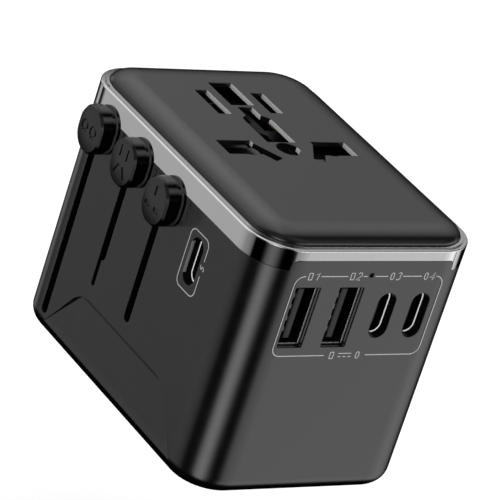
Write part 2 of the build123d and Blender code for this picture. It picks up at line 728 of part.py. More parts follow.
def uk_line_pins():
    """The two level pins; each is slimmer where its sleeve sits."""
    pins = Part()
    for side in (-1, 1):
        x = side * UK_PITCH / 2
        y = UK_SLOT_CENTRE_Y
        pin = flat_pin(x, y, UK_PIN_X, UK_PIN_Y, UK_PIN_TIP, UK_SLEEVE_LOW)
        slim = (UK_PIN_X / 2 - UK_SLEEVE_WALL, UK_PIN_Y / 2 - UK_SLEEVE_WALL)
        pins += pin
        pins += block((x - slim[0], x + slim[0]), (y - slim[1], y + slim[1]), (UK_SLEEVE_LOW, UK_PIN_ROOT))
    return pins


def uk_pin_sleeves():
    """The insulating sleeve round the upper half of each level pin."""
    sleeves = Part()
    for side in (-1, 1):
        x = side * UK_PITCH / 2
        y = UK_SLOT_CENTRE_Y
        wide = (x - UK_PIN_X / 2, x + UK_PIN_X / 2)
        sleeves += block(wide, (y - UK_PIN_Y / 2, y + UK_PIN_Y / 2), (UK_SLEEVE_LOW, UK_BAR_LOW))
    return sleeves - uk_line_pins()


def uk_earth_pin():
    """The longer upright pin toward the front face."""
    return flat_pin(0, UK_SLOT_CENTRE_Y - UK_EARTH_DY, UK_EARTH_X, UK_EARTH_Y, UK_EARTH_TIP, UK_PIN_ROOT)


def usb_a_shells():
    """The folded metal shells of the two large front ports."""
    shells = Part()
    middle = (PORT_LOW + PORT_HIGH) / 2
    wide = USB_A_WIDE - 2 * PORT_PLAY
    tall = PORT_HIGH - PORT_LOW - 2 * PORT_PLAY
    near = -HALF_Y + USB_A_SETBACK
    far = USB_BOARD_Y[0] - SLIP
    for x in USB_A_X:
        tube = front_port(x, middle, wide, tall, USB_A_CORNER[1], near, far)
        hollow = (wide - 2 * USB_A_SHELL, tall - 2 * USB_A_SHELL)
        deep = (near - 1, far - PORT_BACK)
        shells += tube - front_port(x, middle, *hollow, USB_A_CORNER[2], *deep)
    return shells


def usb_a_tongues():
    """The contact tongues and their backing blocks inside the two large ports."""
    tongues = Part()
    middle = (PORT_LOW + PORT_HIGH) / 2
    half_x = USB_A_WIDE / 2 - PORT_PLAY - USB_A_SHELL - TONGUE_PLAY
    half_z = (PORT_HIGH - PORT_LOW) / 2 - PORT_PLAY - USB_A_SHELL - TONGUE_PLAY
    back = USB_BOARD_Y[0] - PORT_BACK - BACK_PLAY
    near = -HALF_Y + USB_A_SETBACK + TONGUE_SETBACK
    for x in USB_A_X:
        tongue = block(
            (x + USB_A_TONGUE_X[0], x + USB_A_TONGUE_X[1]), (near, back),
            (middle - USB_A_TONGUE_HALF_Z, middle + USB_A_TONGUE_HALF_Z),
        )
        tongue = chamfer(tongue.edges().group_by(Axis.Y)[0], TONGUE_BEVEL)
        root = block((x - half_x, x + half_x), (back - BACK_BLOCK, back), (middle - half_z, middle + half_z))
        tongues += tongue + root
    return tongues


def usb_a_contacts():
    """The four spring strips on each large port's tongue, each with a raised nose."""
    contacts = Part()
    middle = (PORT_LOW + PORT_HIGH) / 2
    thick, tall = USB_A_CONTACT
    near = -HALF_Y + USB_A_SETBACK + TONGUE_SETBACK + USB_A_CONTACT_START
    far = USB_BOARD_Y[0] - PORT_BACK - BACK_BLOCK - BACK_PLAY
    for x in USB_A_X:
        skin = x + USB_A_TONGUE_X[0]
        for z in USB_A_CONTACT_Z:
            low = middle + z - tall / 2
            strip = block((skin - thick, skin), (near, far), (low, low + tall))
            nose = Pos(skin - thick, near + USB_A_NOSE_BACK, low + tall / 2) * Cylinder(USB_A_NOSE_R, tall)
            outside = block((skin - 1, skin), (near, near + USB_A_NOSE_LONG), (low, low + tall))
            contacts += strip + (nose & outside)
    return contacts


def usb_c_shells():
    """The two small front ports' closed-back oval metal tubes."""
    shells = Part()
    wide = USB_C_WIDE - 2 * PORT_PLAY
    tall = USB_C_TALL - 2 * PORT_PLAY
    inner_wide = wide - 2 * USB_C_SHELL
    inner_tall = tall - 2 * USB_C_SHELL
    near = -HALF_Y + USB_C_SETBACK
    far = USB_BOARD_Y[0] - SLIP
    inner_far = far - PORT_BACK
    for x in USB_C_X:
        tube = front_port(x, USB_C_Z, wide, tall, oval(wide), near, far)
        shells += tube - front_port(x, USB_C_Z, inner_wide, inner_tall, oval(inner_wide), near - 1, inner_far)
    return shells


def usb_c_tongues():
    """The thin middle tongues of the two small front ports."""
    tongues = Part()
    back = USB_BOARD_Y[0] - PORT_BACK - BACK_PLAY
    near = -HALF_Y + USB_C_SETBACK + TONGUE_SETBACK
    thin, half = USB_C_TONGUE_HALF
    root_x, root_z = USB_C_BACK_HALF
    for x in USB_C_X:
        tongues += block((x - thin, x + thin), (near, back), (USB_C_Z - half, USB_C_Z + half))
        root_y = (back - BACK_BLOCK, back)
        root = block((x - root_x, x + root_x), root_y, (USB_C_Z - root_z, USB_C_Z + root_z))
        tongues += root
    return tongues


def side_port_shell():
    """The side port's metal shell."""
    near = -HALF_X + USB_C_SETBACK
    far = SIDE_BOARD_X[0] - SLIP
    wide = USB_C_WIDE - 2 * PORT_PLAY
    tall = USB_C_TALL - 2 * PORT_PLAY
    inner_wide = wide - 2 * USB_C_SHELL
    inner_tall = tall - 2 * USB_C_SHELL
    tube = side_port(SIDE_PORT_Y, SIDE_PORT_Z, wide, tall, oval(wide), near, far)
    hollow = side_port(
        SIDE_PORT_Y, SIDE_PORT_Z, inner_wide, inner_tall, oval(inner_wide), near - 1, far - PORT_BACK
    )
    return tube - hollow


def side_port_tongue():
    """The side port's thin middle tongue."""
    back = SIDE_BOARD_X[0] - PORT_BACK - BACK_PLAY
    near = -HALF_X + USB_C_SETBACK + TONGUE_SETBACK
    thin, half = USB_C_TONGUE_HALF
    root_y, root_z = USB_C_BACK_HALF
    y = SIDE_PORT_Y
    z = SIDE_PORT_Z
    tongue = block((near, back), (y - thin, y + thin), (z - half, z + half))
    return tongue + block((back - BACK_BLOCK, back), (y - root_y, y + root_y), (z - root_z, z + root_z))


def usb_board():
    """The upright circuit board behind the front ports."""
    board = block(USB_BOARD_X, USB_BOARD_Y, (BOARD_TOP + SLIP, USB_BOARD_TOP))
    return fillet(board.edges().filter_by(Axis.Y), PORT_BOARD_CORNER)


def side_board():
    """The small upright board behind the side port."""
    y = (USB_BOARD_Y[1] + SIDE_BOARD_GAP, SIDE_BOARD_FAR_Y)
    board = block(SIDE_BOARD_X, y, (BOARD_TOP + SLIP, SIDE_BOARD_TOP))
    return fillet(board.edges().filter_by(Axis.X), PORT_BOARD_CORNER)


def post_places():
    """The four posts that carry the power board."""
    return [(side * POST_X, y) for side in (-1, 1) for y in POST_Y]


def main_board():
    """The level power board under the outlet contacts, notched for the live rail."""
    board = block(BOARD_X, BOARD_Y, (BOARD_LOW, BOARD_TOP))
    board = fillet(board.edges().filter_by(Axis.Z), BOARD_CORNER)
    board -= block(RAIL_NOTCH_X, RAIL_NOTCH_Y, (BOARD_LOW - 1, BOARD_TOP + 1))
    for x, y in post_places():
        board -= rod(x, y, BOARD_SCREW_R + GAP, BOARD_LOW - 1, BOARD_TOP + 1)
    return board


def board_screws():
    """Four small screws that hold the power board to the carrier's posts."""
    screws = Part()
    head_r, head_high = BOARD_SCREW_HEAD
    for x, y in post_places():
        screws += rod(x, y, BOARD_SCREW_R, BOARD_LOW - SLIP, BOARD_SCREW_TOP)
        screws += rod(x, y, head_r, BOARD_LOW - head_high, BOARD_LOW)
    return screws


def contact_carrier():
    """The moulded block under the outlet cover: open wells, a mounting flange and four board posts."""
    carrier = block((-CARRIER_X, CARRIER_X), CARRIER_Y, (CARRIER_LOW, CARRIER_TOP))
    carrier = fillet(carrier.edges().filter_by(Axis.Z), CARRIER_CORNER)
    carrier += plan_block(WALL + 2 * GAP, FLANGE_LOW, FLANGE_TOP)
    for x, y in post_places():
        carrier += rod(x, y, POST_R, BOARD_TOP, CARRIER_LOW + 1)
        carrier -= rod(x, y, POST_HOLE_R, BOARD_TOP - 1, POST_HOLE_TOP)
    for shape in outlet_openings(WELL_MARGIN):
        carrier -= Pos(0, 0, CARRIER_LOW - 1) * extrude(shape, CARRIER_TOP - CARRIER_LOW + 2)
    through = (CARRIER_LOW - 1, CARRIER_TOP + 1)
    under = (CARRIER_LOW - 1, CARRIER_LOW + STRAP_DEEP)
    play = 0.2
    pin_leaf = ((PIN_LEAF_X[0] - play, PIN_LEAF_X[1] + play), (UK_SLOT_Y[1], PIN_LEAF_Y[1] + play))
    blade_leaf = ((STRAP_X[0] - play, BLADE_LEAF_X[1] + play), (NEUTRAL_SLOT_Y[0], BLADE_LEAF_Y[1] + play))
    strap = ((STRAP_X[0] - play, STRAP_X[1] + play), (PIN_LEAF_Y[0] - play, BLADE_LEAF_Y[1] + play))
    for side in (-1, 1):
        carrier -= block_pair(side, *pin_leaf, through)
        carrier -= block_pair(side, *blade_leaf, through)
        carrier -= block_pair(side, *strap, under)
    return carrier


def line_contact(side):
    """One live or neutral contact: a leaf for the level pins, a leaf for the blade and a joining strap."""
    low = CARRIER_LOW + STRAP_HIGH[0]
    strap_top = CARRIER_LOW + STRAP_HIGH[1]
    strip = block_pair(side, PIN_LEAF_X, PIN_LEAF_Y, (low, LEAF_TOP))
    strip += block_pair(side, STRAP_X, (PIN_LEAF_Y[0], BLADE_LEAF_Y[1]), (low, strap_top))
    return strip + block_pair(side, BLADE_LEAF_X, BLADE_LEAF_Y, (low, LEAF_TOP))


def earth_contact():
    """The earth contact: two leaves in the middle slot and a strap along its far wall."""
    low = CARRIER_LOW + EARTH_STRAP[0]
    half_x = EARTH_LEAF_X[1]
    strip = block((-half_x, half_x), (EARTH_LEAF_Y[1], EARTH_STRAP_Y), (low, LEAF_TOP + EARTH_STRAP[1]))
    for side in (-1, 1):
        strip += block_pair(side, EARTH_LEAF_X, EARTH_LEAF_Y, (low, EARTH_LEAF_TOP))
    return strip


def power_rail(side):
    """An upright strip that feeds the sliding plugs, standing beside the carriages."""
    foot_x, foot_high = RAIL_FOOT
    rail = block_pair(side, RAIL_X, RAIL_Y, (RAIL_LOW, CARRIER_LOW - SLIP))
    return rail + block_pair(side, (RAIL_X[0], foot_x), RAIL_Y, (RAIL_LOW, RAIL_LOW + foot_high))


def shutter():
    """The sliding safety shutter under the roof, with ramps beside its pin windows."""
    plate = block((-SHUTTER_X, SHUTTER_X), SHUTTER_Y, SHUTTER_Z)
    for side in (-1, 1):
        ramp = block_pair(side, SHUTTER_RAMP_X, SHUTTER_RAMP_Y, (SHUTTER_Z[1] - SLIP, SHUTTER_RAMP_TOP))
        upper_edge = ramp.edges().filter_by(Axis.X).group_by(Axis.Z)[-1].sort_by(Axis.Y)[-1]
        plate += chamfer(upper_edge, SHUTTER_RAMP_BEVEL)
    half_x = BRIDGE_X - BRIDGE_LAP
    plate -= block((-half_x, half_x), SHUTTER_WINDOW_Y, (SHUTTER_Z[0] - 1, SHUTTER_RAMP_TOP + 1))
    plate += block((-BRIDGE_X, BRIDGE_X), BRIDGE_Y, SHUTTER_Z)
    for side in (-1, 1):
        plate += block_pair(side, (SHUTTER_GAP_X, BRIDGE_X), (BRIDGE_Y[1] - BRIDGE_LAP, 0.0), SHUTTER_Z)
    return plate


def shutter_spring():
    """The shutter's return spring, drawn at its compressed length."""
    coil = Helix(pitch=SPRING_PITCH, height=SPRING_LENGTH, radius=SPRING_R)
    wire = sweep(Plane(coil @ 0, z_dir=coil % 0) * Circle(SPRING_WIRE_R), path=coil, is_frenet=True)
    return Pos(*SPRING_PLACE) * Rot(-90, 0, 0) * wire


def transformer_core():
    """The two-window ferrite core under the right half of the power board."""
    core = block(CORE_X, CORE_Y, CORE_Z)
    for window in (LIMB_Y[0] - LIMB_GAP, LIMB_Y[1]):
        through_x = (CORE_X[0] - 1, CORE_X[1] + 1)
        core -= block(through_x, (window, window + LIMB_GAP), (CORE_Z[0] + CORE_YOKE, CORE_Z[1] - CORE_YOKE))
    return core


def transformer_winding():
    """The coil round the core's middle limb."""
    y = (LIMB_Y[0] - LIMB_GAP + COIL_PLAY, LIMB_Y[1] + LIMB_GAP - COIL_PLAY)
    coil = block(COIL_X, y, (CORE_Z[0] + CORE_YOKE + COIL_PLAY, CORE_Z[1] - CORE_YOKE - COIL_PLAY))
    coil = fillet(coil.edges().filter_by(Axis.Z), COIL_CORNER)
    limb_x = (CORE_X[0] - COIL_PLAY, CORE_X[1] + COIL_PLAY)
    return coil - block(limb_x, (LIMB_Y[0] - SLIP, LIMB_Y[1] + SLIP), CORE_Z)


def capacitors():
    """Two upright electrolytic capacitors under the right half of the power board."""
    cans = Part()
    for y in CAN_Y:
        can = rod(CAN_X, y, CAN_R, CAN_LOW, BOARD_LOW - GAP)
        cans += fillet(can.edges().group_by(Axis.Z)[0], CAN_EDGE)
    return cans


def level_rod(x, radius, long):
    """A cylinder along X on the fuse's axis."""
    return Pos(x, FUSE_Y, FUSE_Z) * Rot(0, 90, 0) * Cylinder(radius, long)


def fuse():
    """The glass fuse tube on top of the power board."""
    return level_rod(0, FUSE_R, FUSE_LONG)


def fuse_caps():
    """The metal end caps of the fuse."""
    left = level_rod(-FUSE_CAP_X, FUSE_CAP_R, FUSE_CAP_LONG)
    return left + level_rod(FUSE_CAP_X, FUSE_CAP_R, FUSE_CAP_LONG)


def fuse_clips():
    """The two spring clips that hold the fuse caps to the power board."""
    clips = Part()
    y = (FUSE_Y - CLIP_HALF_Y, FUSE_Y + CLIP_HALF_Y)
    inner_y = (y[0] + CLIP_SHEET, y[1] - CLIP_SHEET)
    for x in (-FUSE_CAP_X, FUSE_CAP_X):
        clip = block((x - CLIP_HALF_X, x + CLIP_HALF_X), y, (BOARD_TOP, CLIP_TOP))
        clips += clip - block((x - CLIP_HALF_X, x + CLIP_HALF_X), inner_y, (BOARD_TOP + CLIP_SHEET, CLIP_TOP))
    return clips


def controller_chips():
    """Two charging controller chips on the power board."""
    chips = Part()
    for x in CHIP_X:
        chip = Pos(x, 0, BOARD_TOP + CHIP_HIGH / 2) * Box(CHIP_SIZE, CHIP_SIZE, CHIP_HIGH)
        chips += chamfer(chip.edges().group_by(Axis.Z)[-1], CHIP_BEVEL)
    return chips


def light_pipe():
    """The tiny clear rod that brings the status light to the front face."""
    near = -HALF_Y + LED_SETBACK
    pipe = Cylinder(LED_R - LED_PLAY, LED_END_Y - near)
    return Pos(0, (near + LED_END_Y) / 2, LED_Z) * Rot(90, 0, 0) * pipe


PARTS = {
    "body_shell": body_shell,
    "base_plate": base_plate,
    "chrome_band": chrome_band,
    "outlet_cover": outlet_cover,
    "case_screws": case_screws,
    "contact_carrier": contact_carrier,
    "neutral_contact": lambda: line_contact(-1),
    "live_contact": lambda: line_contact(1),
    "earth_contact": earth_contact,
    "neutral_rail": lambda: power_rail(-1),
    "live_rail": lambda: power_rail(1),
    "main_board": main_board,
    "board_screws": board_screws,
    "usb_board": usb_board,
    "side_board": side_board,
    "usb_a_shells": usb_a_shells,
    "usb_a_tongues": usb_a_tongues,
    "usb_a_contacts": usb_a_contacts,
    "usb_c_shells": usb_c_shells,
    "usb_c_tongues": usb_c_tongues,
    "side_port_shell": side_port_shell,
    "side_port_tongue": side_port_tongue,
    "light_pipe": light_pipe,
    "transformer_core": transformer_core,
    "transformer_winding": transformer_winding,
    "capacitors": capacitors,
    "fuse": fuse,
    "fuse_caps": fuse_caps,
    "fuse_clips": fuse_clips,
    "controller_chips": controller_chips,
    "shutter": shutter,
    "shutter_spring": shutter_spring,
    "eu_knob": lambda: knob(EU_SLOT_Y, EU_KNOB_Z, eu_mark()),
    "eu_plug_body": eu_plug_body,
    "eu_pins": eu_pins,
    "us_knob": lambda: knob(US_SLOT_Y, US_KNOB_Z, us_mark()),
    "us_carriage": us_carriage,
    "us_blade_retainer": us_blade_retainer,
    "us_blade_left": lambda: us_blade(-1),
    "us_blade_right": lambda: us_blade(1),
    "uk_knob": lambda: knob(UK_SLOT_CENTRE_Y, UK_KNOB_Z, uk_mark()),
    "uk_carriage": uk_carriage,
    "uk_line_pins": uk_line_pins,
    "uk_pin_sleeves": uk_pin_sleeves,
    "uk_earth_pin": uk_earth_pin,
}

os.makedirs("parts", exist_ok=True)
for name, make in PARTS.items():
    solids = make()
    if not isinstance(solids, list):
        solids = solids.solids()
    piece = Compound(children=list(solids)) if len(solids) > 1 else solids[0]
    export_step(piece, f"parts/{name}.step")
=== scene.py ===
"""Looks of the universal travel adapter: materials, printed marks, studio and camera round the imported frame.

Everything is in metres in the frame's own axes: +Z outlet normal, -Y front USB face, -X slider face.
"""

import math

import bmesh
import bpy
from mathutils import Matrix, Vector


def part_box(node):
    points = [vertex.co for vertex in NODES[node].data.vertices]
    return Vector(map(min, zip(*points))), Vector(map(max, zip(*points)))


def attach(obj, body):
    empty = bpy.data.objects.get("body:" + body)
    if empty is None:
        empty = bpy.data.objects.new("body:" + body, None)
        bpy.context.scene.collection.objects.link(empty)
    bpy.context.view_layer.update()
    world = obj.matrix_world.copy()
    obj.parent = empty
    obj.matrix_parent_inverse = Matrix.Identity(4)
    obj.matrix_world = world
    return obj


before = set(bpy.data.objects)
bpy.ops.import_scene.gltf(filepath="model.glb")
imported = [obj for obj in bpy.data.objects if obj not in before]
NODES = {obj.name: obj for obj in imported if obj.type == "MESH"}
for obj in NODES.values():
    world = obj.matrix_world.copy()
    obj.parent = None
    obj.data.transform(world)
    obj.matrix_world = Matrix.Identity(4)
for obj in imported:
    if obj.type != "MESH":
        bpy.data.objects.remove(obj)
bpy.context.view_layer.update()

MM = 0.001
PLASTIC_IOR = 1.46
SHELL_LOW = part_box("body_shell")[0]
FRONT_Y = SHELL_LOW.y
LEFT_X = SHELL_LOW.x
COVER_LOW, COVER_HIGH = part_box("outlet_cover")
PORT_LOW, PORT_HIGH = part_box("side_port_shell")

# ---- Camera: a long lens, turned and rolled as in a product shot ----
CAMERA_AT = Vector((-0.42002, -0.52208, 0.33392))
CAMERA_RIGHT = Vector((0.82064, -0.49471, 0.28604))
CAMERA_UP = Vector((-0.00072, 0.49965, 0.86623))
CAMERA_LENS = 272.5
SENSOR = 36.0

# ---- Cut walls painted pale, a painted highlight in place of a side light: the side they face, the box they are in and their painted grey ----
# Painted light on the cover's opening walls that face -X.
COVER_PAINTED_WALLS = (
    "X",
    (COVER_LOW.x, COVER_LOW.y, COVER_HIGH.z - 0.98 * MM),
    (COVER_HIGH.x, COVER_HIGH.y, COVER_HIGH.z - 0.01 * MM),
    0.9,
)
PORT_REACH = 3.0 * MM
# Painted light on the slider face's walls that face -Y round the side port.
PORT_PAINTED_WALLS = (
    "Y",
    (LEFT_X, PORT_LOW.y - PORT_REACH, PORT_LOW.z - PORT_REACH),
    (LEFT_X + 0.7 * MM, PORT_HIGH.y + PORT_REACH, PORT_HIGH.z + PORT_REACH),
    0.36,
)

# ---- Knobs ----
# How far the dome of the outer face falls, in metres for each square millimetre from the centre.
KNOB_DOME = 1.6e-5
# Height above which a mirror ray comes from the band, and how clear a knob is to the other mirror rays.
BAND_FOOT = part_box("chrome_band")[0].z - 0.06 * MM
KNOB_GHOST = 0.8

# ---- Port rims: how squarely one faces out, and the direction it leans to as it catches the front light ----
RIM_FACING = 0.9
RIM_NORMAL = (-0.63, -0.67, 0.39)

# ---- How squarely a cut wall must point to one side to count as facing it ----
WALL_FACING = 0.95

# ---- Case plastic: its black, its rubbed edges' shade, roughness and radius, and its grain's scale ----
CASE_BLACK = (0.005, 0.005, 0.0051)
CASE_EDGE = ((0.02, 0.02, 0.02), 0.24, 0.35 * MM)
CASE_GRAIN = 9000.0
# The radius that softens its hard edges' shading, and its specular level.
CASE_ROUND = 0.22 * MM
CASE_SPECULAR = 0.85

# ---- Noises: the middle range that varies a surface, and the scale of its patches ----
NOISE_SPAN = (0.3, 0.7)
PATCH_SCALE = 420.0

# ---- Rubbed edges: how well the bevelled and the true normal agree at full wear and at none ----
EDGE_WORN = 0.93
EDGE_CLEAN = 0.999

# ---- Grip recess: the heights, half length and depth of the wall that is smoothed, and how much ----
GRIP_LOW = 3.6 * MM
GRIP_LOW_FADE = 1.4 * MM
GRIP_HIGH = 15.2 * MM
GRIP_HALF_Y = 24.0 * MM
GRIP_SKIN_X = -LEFT_X - 0.9 * MM
GRIP_SMOOTH = 0.88


# ---------------------------------------------------------------- node helpers
class Graph:
    """A short way to add and link shader nodes."""

    def __init__(self, tree):
        self.tree = tree
        tree.nodes.clear()

    def add(self, kind, inputs=None, **settings):
        node = self.tree.nodes.new(kind)
        for key, value in settings.items():
            setattr(node, key, value)
        for key, value in (inputs or {}).items():
            socket = node.inputs[key]
            if isinstance(value, bpy.types.NodeSocket):
                self.tree.links.new(value, socket)
            else:
                socket.default_value = value
        return node

    def link(self, out, into):
        self.tree.links.new(out, into)

    def place(self):
        """The object's own coordinates."""
        return self.add("ShaderNodeTexCoord").outputs["Object"]

    def mirrored(self):
        """The direction that a mirror ray leaves in."""
        return self.add("ShaderNodeTexCoord").outputs["Reflection"]

    def output(self, shader):
        """Makes the shader the material's surface."""
        self.link(shader.outputs[0], self.add("ShaderNodeOutputMaterial").inputs[0])

    def math(self, operation, a, b=0.0, c=0.0):
        return self.add("ShaderNodeMath", {0: a, 1: b, 2: c}, operation=operation).outputs[0]

    def noise(self, vector, scale, detail=2.0, rough=0.5):
        inputs = {"Vector": vector, "Scale": scale, "Detail": detail, "Roughness": rough}
        return self.add("ShaderNodeTexNoise", inputs).outputs[0]

    def spread(self, value, low, high, start=0.0, end=1.0):
        """Remaps value from start..end to low..high."""
        inputs = {0: value, 1: start, 2: end, 3: low, 4: high}
        return self.add("ShaderNodeMapRange", inputs).outputs[0]

    def vary(self, noise, low=0.0, high=1.0):
        """Remaps the middle of a noise's range, where most of it lies, to low..high."""
        return self.spread(noise, low, high, *NOISE_SPAN)

    def ramp(self, value, stops):
        """Grey levels, (place, level), with straight runs between them."""
        node = self.add("ShaderNodeValToRGB", {0: value})
        node.color_ramp.interpolation = "LINEAR"
        elements = node.color_ramp.elements
        while len(elements) > 1:
            elements.remove(elements[-1])
        for index, (place, level) in enumerate(stops):
            element = elements[0] if index == 0 else elements.new(place)
            element.position = place
            element.color = (level, level, level, 1.0)
        return node.outputs[0]

    def mix(self, factor, a, b, blend="MIX"):
        node = self.add("ShaderNodeMix", data_type="RGBA", blend_type=blend)
        for socket, value in ((node.inputs[0], factor), (node.inputs[6], a), (node.inputs[7], b)):
            if isinstance(value, bpy.types.NodeSocket):
                self.link(value, socket)
            elif isinstance(value, tuple):
                socket.default_value = (*value, 1.0)
            else:
                socket.default_value = value
        return node.outputs[2]


def new_material(name):
    """An empty material and its graph."""
    material = bpy.data.materials.new(name)
    material.use_nodes = True
    return material, Graph(material.node_tree)


def edge_mask(g, radius):
    """1 along edges, from how far a bevelled normal leans away from the true one."""
    soft = g.add("ShaderNodeBevel", {"Radius": radius}, samples=6)
    true = g.add("ShaderNodeNewGeometry").outputs["Normal"]
    lean = g.add("ShaderNodeVectorMath", {0: soft.outputs[0], 1: true}, operation="DOT_PRODUCT")
    return g.spread(lean.outputs["Value"], 1.0, 0.0, EDGE_WORN, EDGE_CLEAN)


def painted_lit_walls(g, place, facing, low, high):
    """1 on the walls of cut openings, inside a box, that face one side: where pale painted light stands in for
    a side light.
    """
    normal = g.add("ShaderNodeNewGeometry").outputs["True Normal"]
    sideways = g.add("ShaderNodeSeparateXYZ", {0: normal}).outputs[facing]
    mask = g.math("LESS_THAN", sideways, -WALL_FACING)
    parts = g.add("ShaderNodeSeparateXYZ", {0: place})
    for axis in range(3):
        along = parts.outputs[axis]
        above = g.math("GREATER_THAN", along, low[axis])
        below = g.math("LESS_THAN", along, high[axis])
        mask = g.math("MULTIPLY", mask, g.math("MULTIPLY", above, below))
    return mask


def smooth_grip(g, place, normal):
    """Leans the normal back to the side wall's inside the grip recess, as if moulded with soft edges."""
    parts = g.add("ShaderNodeSeparateXYZ", {0: place})
    height = parts.outputs["Z"]
    above = g.spread(height, 0.0, 1.0, GRIP_LOW, GRIP_LOW + GRIP_LOW_FADE)
    below = g.math("LESS_THAN", height, GRIP_HIGH)
    within = g.math("LESS_THAN", g.math("ABSOLUTE", parts.outputs["Y"]), GRIP_HALF_Y)
    near_skin = g.math("GREATER_THAN", g.math("ABSOLUTE", parts.outputs["X"]), GRIP_SKIN_X)
    mask = g.math("MULTIPLY", g.math("MULTIPLY", above, below), g.math("MULTIPLY", within, near_skin))
    outward = g.math("SIGN", parts.outputs["X"])
    flat = g.add("ShaderNodeCombineXYZ", {0: outward}).outputs[0]
    leaned = g.mix(g.math("MULTIPLY", mask, GRIP_SMOOTH), normal, flat)
    return g.add("ShaderNodeVectorMath", {0: leaned}, operation="NORMALIZE").outputs[0]


def surface(
    name, shade, rough, grain=None, mottle=0.1, edge=None, round_edge=0.0, specular=0.5,
    walls=None, grip=False,
):
    """A general moulded surface.

    shade: base colour.
    rough: (low, high) roughness.
    grain: (scale, depth) of the fine bump.
    mottle: how far the shade wanders.
    edge: (colour, roughness, radius) for rubbed edges.
    round_edge: radius that softens hard edges' shading.
    walls: (side faced, low corner, high corner, shade) of cut walls painted that pale shade, a painted
    highlight in place of a side light.
    grip: smooths the edges of the grip recess.
    """
    material, g = new_material(name)
    place = g.place()
    broad = g.noise(place, 70.0, 3.0)
    patchy = g.noise(place, PATCH_SCALE, 4.0, 0.6)
    dark = tuple(c * (1 - mottle) for c in shade)
    light = tuple(min(1.0, c * (1 + mottle)) for c in shade)
    colour = g.mix(g.vary(broad), dark, light)
    gloss = g.vary(patchy, *rough)
    if edge:
        rubbed, edge_rough, radius = edge
        mask = edge_mask(g, radius)
        mask = g.math("MULTIPLY", mask, g.spread(patchy, 0.35, 1.0, 0.35, 0.65))
        colour = g.mix(mask, colour, rubbed)
        gloss = g.spread(mask, gloss, edge_rough)
    # Painted light: cut walls facing one side, inside the box, get a pale grey in place of a side light's
    # highlight.
    if walls:
        facing, low, high, level = walls
        colour = g.mix(painted_lit_walls(g, place, facing, low, high), colour, (level, level, level))
    inputs = {"Base Color": colour, "Roughness": gloss, "IOR": PLASTIC_IOR, "Specular IOR Level": specular}
    shader = g.add("ShaderNodeBsdfPrincipled", inputs)
    normal = None
    if round_edge:
        normal = g.add("ShaderNodeBevel", {"Radius": round_edge}, samples=6).outputs[0]
    if grip:
        normal = smooth_grip(g, place, normal)
    if grain:
        fine = g.noise(place, grain[0], 2.0, 0.6)
        bump = g.add("ShaderNodeBump", {"Strength": 1.0, "Distance": grain[1], "Height": fine})
        if normal:
            g.link(normal, bump.inputs["Normal"])
        normal = bump.outputs[0]
    if normal:
        g.link(normal, shader.inputs["Normal"])
    g.output(shader)
    return material


def brushed(name, shade, rough, along, stretch=25.0):
    """Drawn or plated metal with fine lines along one axis."""
    material, g = new_material(name)
    place = g.place()
    scale = [1.0, 1.0, 1.0]
    scale["XYZ".index(along)] = 1.0 / stretch
    drawn = g.add("ShaderNodeMapping", {"Vector": place, "Scale": tuple(scale)}).outputs[0]
    lines = g.noise(drawn, 6000.0, 3.0, 0.6)
    cloud = g.noise(place, 260.0, 3.0)
    tone = g.vary(lines, 0.85, 1.12)
    dull = tuple(c * 0.72 for c in shade)
    colour = g.mix(g.spread(cloud, 0.0, 0.35, 0.35, 0.75), shade, dull)
    colour = g.mix(1.0, colour, tone, "MULTIPLY")
    gloss = g.vary(lines, *rough)
    shader = g.add("ShaderNodeBsdfPrincipled", {"Base Color": colour, "Roughness": gloss, "Metallic": 1.0})
    soft = g.add("ShaderNodeBevel", {"Radius": 0.12 * MM}, samples=4).outputs[0]
    bump = g.add("ShaderNodeBump", {"Strength": 0.5, "Distance": 2e-6, "Height": lines, "Normal": soft})
    g.link(bump.outputs[0], shader.inputs["Normal"])
    g.output(shader)
    return material


def chrome(name):
    """Mirror plating on moulded plastic, with a faint haze and hairlines, and painted reflections of cards and
    flags multiplied into its colour.
    """
    material, g = new_material(name)
    place = g.place()
    haze = g.noise(place, 180.0, 4.0, 0.6)
    fine = g.noise(place, 3000.0, 2.0)
    gloss = g.math("ADD", g.vary(haze, 0.03, 0.06), g.spread(fine, 0.0, 0.015))
    colour = g.mix(g.vary(haze), (0.95, 0.95, 0.955), (0.92, 0.92, 0.925))
    mirrored = g.mirrored()
    upward = g.spread(g.add("ShaderNodeSeparateXYZ", {0: mirrored}).outputs["Z"], 0.0, 1.0, -0.1, 0.1)
    # Painted reflection: the colour is scaled by a level set by the mirror ray's azimuth, white for rising
    # rays.
    painted_reflection = g.mix(upward, azimuth_ramp(g, mirrored, CHROME_PAINTED_REFLECTION), (1.0, 1.0, 1.0))
    away = g.add("ShaderNodeVectorMath", {0: place, 1: AWAY}, operation="DOT_PRODUCT").outputs["Value"]
    # Painted shade: the far lip's colour is darkened where mirror rays rise.
    painted_far_lip_shade = g.math("MULTIPLY", upward, g.spread(away, 0.0, 1.0, *AWAY_FADE))
    painted_reflection = g.mix(painted_far_lip_shade, painted_reflection, (0.12, 0.12, 0.12))
    colour = g.mix(1.0, colour, painted_reflection, "MULTIPLY")
    shader = g.add("ShaderNodeBsdfPrincipled", {"Base Color": colour, "Roughness": gloss, "Metallic": 1.0})
    shader.inputs["Specular Tint"].default_value = (0.3, 0.3, 0.3, 1.0)
    soft = g.add("ShaderNodeBevel", {"Radius": 0.08 * MM}, samples=6).outputs[0]
    g.link(soft, shader.inputs["Normal"])
    g.output(shader)
    return material


